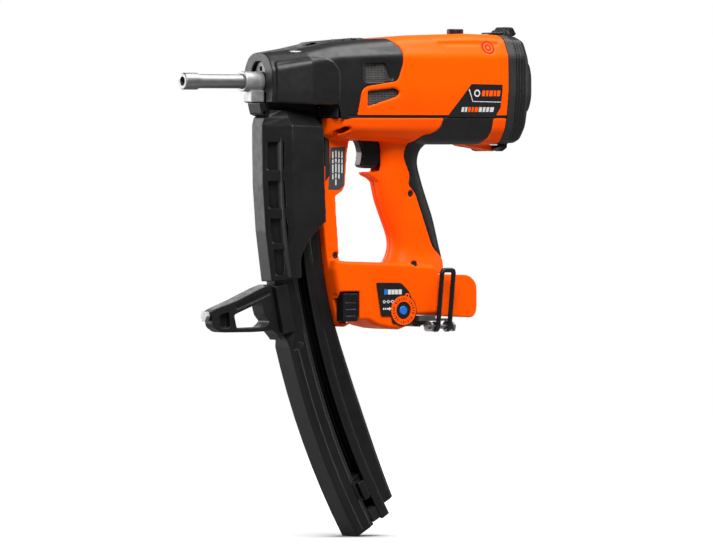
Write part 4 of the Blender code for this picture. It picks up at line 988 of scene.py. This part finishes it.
def follower():
    piece = swept(strip(758.6, 789, -9.5, 9.5), 26.4, 28.5, 2, name="follower")
    fuse(piece, swept(strip(764.6, 773.4, -17.5, -8), 26.9, 28.2, 1))
    fuse(piece, swept(strip(766.5, 774, -20, -17), 26.8, 28.3, 1))
    finish(piece, "dark_steel", 0.5, 3, TRACK_BLACK)
    drum = ring(3.0, 7.4, -4.5, 4.5, on_arc(774, -0.6), "Y", 20, name="follower_spring")
    finish(drum, "bright_steel", 0)


def support_foot():
    outline = [(31, -238.5), (35, -236.5), (60, -228), (92, -214.5), (104, -211), (107, -219), (111, -240),
               (120, -273), (117.5, -273), (105, -258.8), (92, -260.5), (78, -261), (42, -261), (32.3, -255)]
    foot = prism(rounded(outline, [2, 4, 4, 4, 2, 0, 0, 0, 1, 6, 3, 3, 4, 4], 2), -11.5, 11.5,
                 name="support_foot")
    plan = [(20, -5.5), (36, -8), (60, -11.4), (130, -11.4), (130, 11.4), (60, 11.4), (36, 8), (20, 5.5)]
    keep(foot, prism(plan, -300, -190, "Z"))
    window = [(56.8, -242.6), (90.5, -229.5), (94.5, -244), (100.5, -250), (93, -256.2), (60, -257)]
    cut(foot, prism(rounded(window, 2.5, 2), -30, 30))
    pit = rounded([(40, -243), (51, -239.5), (52, -256), (41, -256)], 2, 2)
    groove = [(58, -233.5), (88, -221.5), (100, -217.5), (101, -222), (90, -226.5), (60, -237.8)]
    for side, _ in SIDES:
        cut(foot, prism(pit, *span(side, 3.0, 20)))
        cut(foot, prism(rounded(groove, 1, 2), *span(side, 9.8, 20)))
    cut(foot, swept(strip(700, 804.6, -30, 30), 8, 16, 4))
    finish(foot, "black_plastic", 0.6, 4)
    hexagon = [(6.2 * math.cos(t), -244 + 6.2 * math.sin(t)) for t in [math.pi / 3 * k for k in range(6)]]
    tip = prism(rounded(hexagon, 0.6, 2), 25.5, 30.7, "X", name="foot_tip")
    finish(tip, "bright_steel", 0, edge=0.7)
    start, end = arc_angle(FRONT_R, -213), arc_angle(FRONT_R, -262)
    clip = swept(strip(790, 804.0, -17.6, 17.6), start, end, 4, name="foot_clip")
    cut(clip, swept(strip(760, 799.7, -16.4, 16.4), start - 1, end + 1, 6))
    finish(clip, "black_plastic", 0.6, 4)


def magazine_dock():
    dock = block((158, 166.1), (-14, 14), (-88, -42.8), name="magazine_dock")
    cut(dock, block((150, 162), (-5, 5), (-90, -46)))
    return finish(dock, "black_plastic", 0)


# ---- drive line


def probe():
    profile = [
        (0, PROBE_BORE), (0, 7.9), (1.0, COLLAR_RADIUS), (17, COLLAR_RADIUS), (20, PROBE_RADIUS),
        (PROBE_REAR, PROBE_RADIUS), (PROBE_REAR, PROBE_BORE),
    ]
    return finish(turned(profile, steps=28, name="probe"), "bright_steel", 0)


def probe_guide():
    guide = ring(PROBE_RADIUS + GAP, 10.5, 72.5, 92, steps=28, name="probe_guide")
    fuse(guide, block((80, 95.7), (-7.5, 7.5), (-21.4, -9.5)))
    fuse(guide, prism(rounded(circle(0, 0, 10.2, 16), 0.2, 1), 88, 95.7, "X"))
    cut(guide, disc(PROBE_RADIUS + GAP, 60, 100, steps=28))
    return finish(guide, "cast_metal", 0.45, 4)


def linkage_yoke():
    """Plate on the probe's rear end, and the strap that carries the combustion sleeve with it."""
    plate = [(-12, -11), (-12, 8), (-6, 20), (-6, 23.5), (6, 23.5), (6, 20), (12, 8), (12, -11)]
    yoke = prism(rounded(plate, 2, 2), YOKE_X, YOKE_X + 3.5, "X", name="linkage_yoke")
    cut(yoke, disc(PROBE_BORE + 0.2, 90, 110, steps=20))
    cut(yoke, block((90, 110), (-2.4, 2.4), (11, 16)))
    strap = rounded([(YOKE_X + 0.4, 17), (YOKE_X + 3.1, 17), (134, 28.8), (SLEEVE_X - GAP, 28.8),
                     (SLEEVE_X - GAP, 31.3), (132, 31.3), (YOKE_X + 0.4, 20.5)], 1, 1)
    fuse(yoke, prism(strap, -5.4, 5.4))
    fuse(yoke, block((190, 193), (-5, 5), (30, 39.2)))
    return finish(yoke, "dark_steel", 0)


def coil_spring(name, start, end, height, radius, wire, turns):
    """A compression spring along X between start and end, with its end coils closed."""
    steps = 24
    count = turns * steps
    route = []
    for k in range(count + 1):
        share = min(max((k - steps / 2) / (count - steps), 0.0), 1.0)
        lift = 0.12 * (k - count / 2) / count
        t = 2 * math.pi * k / steps
        route.append((start + (end - start) * share + lift, radius * math.cos(t),
                      height + radius * math.sin(t)))
    spring = bent_rod(route, wire, 10, name=name)
    spring.data.shade_smooth()
    finish(spring, "bright_steel", 0, edge=0)
    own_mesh(spring)


def springs():
    coil_spring("return_spring", 194.2, 253.8, 35.6, 3.1, 0.6, 9)
    coil_spring("trigger_spring", 248.3, 257.0, -62.0, 1.7, 0.45, 4)


def knob_screws_and_pins():
    profile = [(38, 0), (38, 2.9), (49.3, 2.9), (49.3, 8.8), (KNOB_Z + 3.8, 8.8), (KNOB_Z + 4.6, 8.0),
               (KNOB_Z + 4.6, 0)]
    knob = turned(profile, (KNOB_X, 0), "Z", 24, name="power_knob")
    cut(knob, block((KNOB_X - 7, KNOB_X + 7), (-1, 1), (KNOB_Z + 3.2, 70)))
    finish(knob, "black_plastic", 0.4, 4)
    screw = [(40.6, 0), (40.6, 1.5), (42.6, 1.5), (42.6, 3.2), (45.0, 3.2), (45.0, 0)]
    for name, x in SHROUD_SCREWS.items():
        finish(turned(screw, (x, 0), "Z", 12, name=name), "bright_steel", 0)
    pins = (("latch_pin", 1.8, 12.8, LATCH_PIVOT), ("cap_hinge_pin", 1.3, 25, CAP_PIVOT))
    for name, radius, reach, pivot in pins:
        finish(disc(radius, -reach, reach, pivot, "Y", 12, name), "bright_steel", 0)


# ---- printed labels and marks

LIFT = 0.22  # how far a label stands off its surface


def cover_patch(name, outline, lift=LIFT, radius=0.8, material=LABEL_BLACK):
    """A label on the near side of the cover, which follows the cover's own curve."""
    patch = upper_loft(-lift, name=name)
    keep(patch, prism(rounded(outline, radius, 2), -70, -20))
    cut(patch, upper_loft(0.3, ends=(-1, 1)))
    return trim(patch, "black_plastic", material)


def name_label():
    cover_patch("name_label", [(327, -1.8), (367, -2.4), (365.6, -26.6), (359.5, -36.6), (299, -36.4)])
    line = [(323.6, -7.6), (324.6, -6.8), (329.8, -19.8), (365.4, -20.4), (365.4, -21.2), (329.2, -20.6)]
    cover_patch("name_label_line", line, 0.3, 0, PRINT_WHITE)
    cover_patch("name_label_ring", circle(334.5, -11.5, 3.9, 8), 0.3, 0, PRINT_WHITE)
    cover_patch("name_label_dot", circle(334.5, -11.5, 2.3, 8), 0.36, 0, LABEL_BLACK)
    # where each row of bars starts, its lower and upper edge, the bars' widths, and which are orange
    rows = (
        (340.5, -14.6, -8.6, (3.8, 2.8, 4.4, 2.8, 3.8), (0, 1, 2, 3, 4)),
        (316, -31.2, -26.2, (3.0, 2.6, 3.2, 2.6, 4.0, 3.8, 3.0, 3.4, 4.8), (2, 3, 4)),
    )
    for row, (start, low, high, widths, orange) in enumerate(rows):
        for index, width in enumerate(widths):
            outline = [(start, low), (start + width, low), (start + width + 0.7, high), (start + 0.7, high)]
            cover_patch(f"name_label_bar_{row}_{index}", outline, 0.3, 0,
                        PRINT_ORANGE if index in orange else PRINT_WHITE)
            start += width + 1.3


def flat_mark(name, outline, y, material, depth=0.3, radius=0.0):
    """A printed mark on the near side, which starts LIFT in front of the face at y."""
    mark = prism(rounded(outline, radius, 2) if radius else outline, y - LIFT, y + depth, name=name)
    return trim(mark, "black_plastic", material)


def spine_label():
    outline = [(172.6, -68.6), (191.3, -68.2), (189.3, -108.5), (184.2, -113), (170, -113)]
    flat_mark("spine_label", outline, -15.5, LABEL_GREY, radius=1.0)
    columns = ((174.6, -108, -73), (178.4, -109, -72), (182.2, -104, -72.5), (186.0, -98, -73))
    for column, (x, low, high) in enumerate(columns):
        z, index = high, 0
        for length in (7, 4, 9, 5, 6, 8, 4, 7):
            if z - length < low:
                break
            flat_mark(f"spine_label_bar_{column}_{index}", box_outline((x, x + 1.5), (z - length, z)), -15.72,
                      PRINT_WHITE, depth=0.1)
            z -= length + 1.3
            index += 1


def panel_marks():
    face = -29.6
    flat_mark("panel_glyph", [(230.6, -223.4), (234.2, -222.8), (233.6, -217.6), (231.0, -217.2)], face,
              PRINT_BLUE)
    for index in range(4):
        x = 235.2 + 4.5 * index
        flat_mark(f"panel_block_{index}", box_outline((x, x + 3.8), (-223.0, -218.0)), face, PRINT_WHITE)
    for index in range(4):
        x = 230.5 + 5.2 * index
        mark = prism(circle(x, -230.6, 1.7, 6), face - LIFT, face + 0.2, name=f"panel_link_{index}")
        cut(mark, disc(1.0, face - 1, face + 1, (x, -230.6), "Y", 6))
        trim(mark, "black_plastic", PRINT_WHITE)
        if index < 3:
            flat_mark(f"panel_bridge_{index}", box_outline((x + 1.7, x + 3.5), (-230.9, -230.3)), face,
                      PRINT_WHITE)
    for index in range(3):
        x = 229 + 2.3 * index
        flat_mark(f"panel_dash_{index}", box_outline((x, x + 1.5), (-239.0, -237.2)), face, PRINT_WHITE)
    arrow = [(235.4, -239.0), (237, -239.0), (237, -240.2), (239.6, -238.1), (237, -236), (237, -237.2),
             (235.4, -237.2)]
    flat_mark("panel_arrow", arrow, face, PRINT_WHITE)
    ticks = 28
    for index in range(ticks):
        if index % 7 == 5:  # every seventh tick is left out, which groups the marks in sixes
            continue
        turn = 2 * math.pi * index / ticks
        along, across = Vector((math.cos(turn), math.sin(turn))), Vector((-math.sin(turn), math.cos(turn)))
        centre = Vector(DIAL)
        wide = 0.5 if index % 2 else 0.28
        outline = [tuple(centre + along * r + across * w)
                   for r, w in ((11.0, -wide), (13.6, -wide), (13.6, wide), (11.0, wide))]
        flat_mark(f"dial_tick_{index}", outline, -30.4, LABEL_BLACK, depth=0.2)


def cover_icon():
    """Rings moulded into the round recess in the cover's upper bevel; the rings are coloured dark red as
    painted shade, the disc is printed orange.
    """
    for name, inner, outer, low, high, material in (
        ("icon_ring", 5.9, 7.8, -1.4, -0.35, RECESS_SHADE_RED),
        ("icon_disc", 0.0, 6.2, -1.6, -0.5, PRINT_ORANGE),
        ("icon_inner_ring", 2.2, 4.0, -1.2, -0.3, RECESS_SHADE_RED),
    ):
        trim(icon_ring(inner, outer, low, high, name=name), "orange_plastic", material)


def woven_screen(name, side):
    """Plain weave of round wires on one side, each wire passing over and under those it crosses."""
    pitch, wire, swing, count = 1.8, 0.29, 0.31, 26
    low_x, low_z, middle_y = 193.5, -27.0, 44.0
    curve = bpy.data.curves.new("vent_screen", "CURVE")
    curve.dimensions, curve.bevel_depth, curve.bevel_resolution = "3D", wire * MM, 1
    curve.use_fill_caps = True
    for way in (1, -1):
        for i in range(count + 1):
            line = curve.splines.new("POLY")
            line.points.add(2 * count)
            for k, spot in enumerate(line.points):
                x, z = (pitch * i, pitch * k / 2)[::way]
                y = side * (middle_y + way * swing * math.sin(math.pi * (k / 2 + i)))
                spot.co = (*((Vector((low_x + x, y, low_z + z)) - GRIP_MIDDLE) * MM), 1.0)
    screen = placed(f"{name}_fine", curve)
    screen.data.materials.append(MESH_METAL)
    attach(screen, "housing")
    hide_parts(name)


def backing():
    """What closes the view into the body: the seam's tongue, the walls beside the nose, and dark rubber
    sheets behind the vent screens, painted shade for the dark inside.
    """
    tongue = keep(upper_loft(WALL + 0.1, -50, ends=(-WALL, 10), name="seam_tongue"),
                  block((167, 374.6), (-80, 80), (-39.2, -31.2)))
    cut(tongue, upper_loft(WALL + 1.8, -80, ends=(-WALL - 2, 20)))
    trim(tongue, "rubber")
    trim(block((159, 171.6), (-12.6, 12.6), (-36.9, -27.2), name="nose_floor"), "black_plastic", edge=0.5)
    flank = [(166.1, -38), (177, -38), (172, -45), (168.8, -55), (171.3, -66), (171.3, -98), (166.1, -104)]
    flank = rounded(flank, [0, 1, 3, 4, 3, 2, 0])
    for side, name in SIDES:
        # each steel clip is coloured flat white: a painted glint standing for the steel's reflection
        clip = block((118.6, 128.2), span(side, 20.4, 28.2), (30.4, 31.8), name=f"shroud_clip_{name}")
        trim(clip, "bright_steel", PRINT_WHITE, 0.3)
        wall = block((163.8, 165.6), span(side, 13.0, 42.0), (-37.4, -22.5), name=f"nose_wall_{name}")
        trim(wall, "black_plastic")
        # painted shade: a dark sheet behind each vent screen stands for the dark inside of the body
        trim(block((189, 243), span(side, 41.4, 42.4), (-28, 22), name=f"vent_filter_{name}"), "rubber")
        trim(prism(flank, *span(side, 10.0, 15.85), name=f"dock_liner_{name}"), "black_plastic")
        # painted shade: the floor of each teardrop recess is coloured as orange in shadow
        floor = prism(offset(TEARDROP, 0.6), *span(side, 29.6, 31.0), name=f"teardrop_floor_{name}")
        trim(floor, "orange_plastic", RECESS_SHADE_RED)


INNER_SLOTS = {
    "rubber": ("bumper", "wire_loom"),
    "cast_metal": ("combustion_sleeve", "cylinder_head"),
    "dark_steel": ("nose_block", "fan_motor"),
    "black_plastic": ("nose_adapter", "fan", "trigger_switch"),
    "board_green": ("circuit_board",),
    "blue_plastic": ("switch_plunger",),
}


def inner_nodes():
    """The solids that keep their own shape get broken edges and their finish, steel unless listed."""
    slots = {name: slot for slot, names in INNER_SLOTS.items() for name in names}
    for name, thing in frame["nodes"].items():
        if name in PIECES or thing.hide_render:
            continue
        thing.modifiers.new("Joined skin", "WELD").merge_threshold = 0.00001
        bevel = thing.modifiers.new("Broken edges", "BEVEL")
        bevel.width, bevel.segments, bevel.limit_method = 0.2 * MM, 2, "ANGLE"
        bevel.angle_limit = math.radians(40)
        thing.data.materials.clear()
        thing.data.materials.append(FINISHES[slots.get(name, "bright_steel")])


# ---- floor, lights and camera


def studio():
    """A round white floor that fades out, with a painted contact shadow around the tool, and a world that
    only the camera sees as white.
    """
    size, rings, turns = 4.0, 24, 96
    low = cad_box[0][2]
    verts, faces = [(0.0, 0.0, low)], []
    for i in range(1, rings + 1):
        verts += [(x, y, low) for x, y in circle(0, 0, size * i / rings, turns / FINE)]
    for k in range(turns):
        n = (k + 1) % turns
        faces.append((0, 1 + k, 1 + n))
        for a in range(1, 1 + (rings - 1) * turns, turns):
            faces.append((a + k, a + turns + k, a + turns + n, a + n))
    mesh = bpy.data.meshes.new("studio_floor")
    mesh.from_pydata(verts, [], faces)
    floor = placed("studio_floor", mesh)
    paper = bpy.data.materials.new("white_paper")
    paper.use_nodes = True
    tree = paper.node_tree
    white = (1.0, 1.0, 1.0, 1.0)
    away = socket(tree, "VectorMath", "Value", {0: socket(tree, "TexCoord", "Object")}, operation="LENGTH")
    glow = socket(tree, "MapRange", "Result", {
        "Value": away, "From Min": 0.2, "From Max": 1.2, "To Min": 0.85, "To Max": 1.2})
    # painted contact shadow: the floor's glow is darkened where the tool stands near it
    painted_contact_shadow = socket(tree, "AmbientOcclusion", "AO", {"Distance": 0.2}, samples=12)
    painted_contact_shadow = socket(tree, "MapRange", "Result", {"Value": painted_contact_shadow, "From Min": 0.5, "From Max": 0.97})
    for factor in (socket(tree, "LightPath", "Is Camera Ray"), painted_contact_shadow):
        glow = socket(tree, "Math", "Value", {0: glow, 1: factor}, operation="MULTIPLY")
    shader = tree.nodes["Principled BSDF"]
    feed(tree, shader, {"Base Color": (0.25, 0.25, 0.25, 1.0), "Roughness": 0.9, "Specular IOR Level": 0.1,
                        "Emission Color": white, "Emission Strength": glow})
    fade = socket(tree, "MapRange", "Result", {"Value": away, "From Min": 0.9, "From Max": 3.6},
                interpolation_type="SMOOTHSTEP")
    faded = socket(tree, "MixShader", "Shader", {
        0: fade, 1: shader.outputs["BSDF"], 2: socket(tree, "BsdfTransparent", "BSDF")})
    feed(tree, tree.nodes["Material Output"], {"Surface": faded})
    floor.data.materials.append(paper)

    world = bpy.data.worlds.new("studio")
    world.use_nodes = True
    bpy.context.scene.world = world
    tree = world.node_tree
    seen = socket(tree, "LightPath", "Is Camera Ray")
    strength = socket(tree, "MapRange", "Result", {"Value": seen, "To Min": 0.1, "To Max": 1.0})
    feed(tree, tree.nodes["Background"], {"Color": white, "Strength": strength})


def aim(thing, place, target):
    thing.location = place
    thing.rotation_euler = (Vector(target) - Vector(place)).to_track_quat("-Z", "Y").to_euler()


def lamp(name, place, target, size, watts):
    data = bpy.data.lights.new(name, "AREA")
    data.shape, data.size, data.size_y, data.energy = "RECTANGLE", size[0], size[1], watts
    aim(placed(name, data), place, target)


def lights():
    middle = (-0.03, 0.0, -0.02)
    lamp("key_light", (-0.55, -0.95, 1.0), middle, (0.7, 0.7), 28)
    lamp("left_light", (-1.75, 2.15, 0.5), middle, (2.3, 1.9), 70)
    lamp("top_light", (0.55, -0.3, 1.55), middle, (1.2, 1.2), 42)
    lamp("right_light", (2.4, -0.6, 0.5), middle, (0.7, 1.6), 8)
    lamp("back_light", (0.6, 2.7, 0.9), middle, (1.4, 1.2), 12)


def camera():
    azimuth, elevation, distance = math.radians(-33), math.radians(1), 8.0
    target = Vector((-0.0658, 0.0, -0.0716))
    back = Vector((math.sin(azimuth) * math.cos(elevation), -math.cos(azimuth) * math.cos(elevation),
                   math.sin(elevation)))
    data = bpy.data.cameras.new("camera")
    data.lens, data.sensor_width = 384.0, 36.0  # mm
    data.clip_start, data.clip_end = 0.1, 100.0
    thing = placed("camera", data)
    aim(thing, target + back * distance, target)
    bpy.context.scene.camera = thing


# ---- everything


def build(*steps):
    for step in steps:
        step()


def main():
    build(nose_shroud, upper_cover, rear_gasket, rear_cap, cap_latch)
    for whole, half, part in ((housing_body(), housing_side, "housing"), (pad_body(), grip_pad, "grip_pad")):
        for side, name in SIDES:
            half(f"{part}_{name}", side, placed(part, whole.data.copy()))
        bpy.data.objects.remove(whole)
    for name in SCREWS:
        housing_screw(name)
    build(trigger, control_panel, battery, belt_hook, magazine_release, magazine_body, magazine_rail,
          magazine_guard, magazine_stop, follower, support_foot, magazine_dock, probe, probe_guide,
          linkage_yoke, springs, knob_screws_and_pins, backing)
    for side, name in SIDES:
        woven_screen(f"vent_screen_{name}", side)
    build(inner_nodes, name_label, spine_label, panel_marks, cover_icon, studio, lights, camera)


main()
bpy.context.scene.view_settings.view_transform = "Standard"
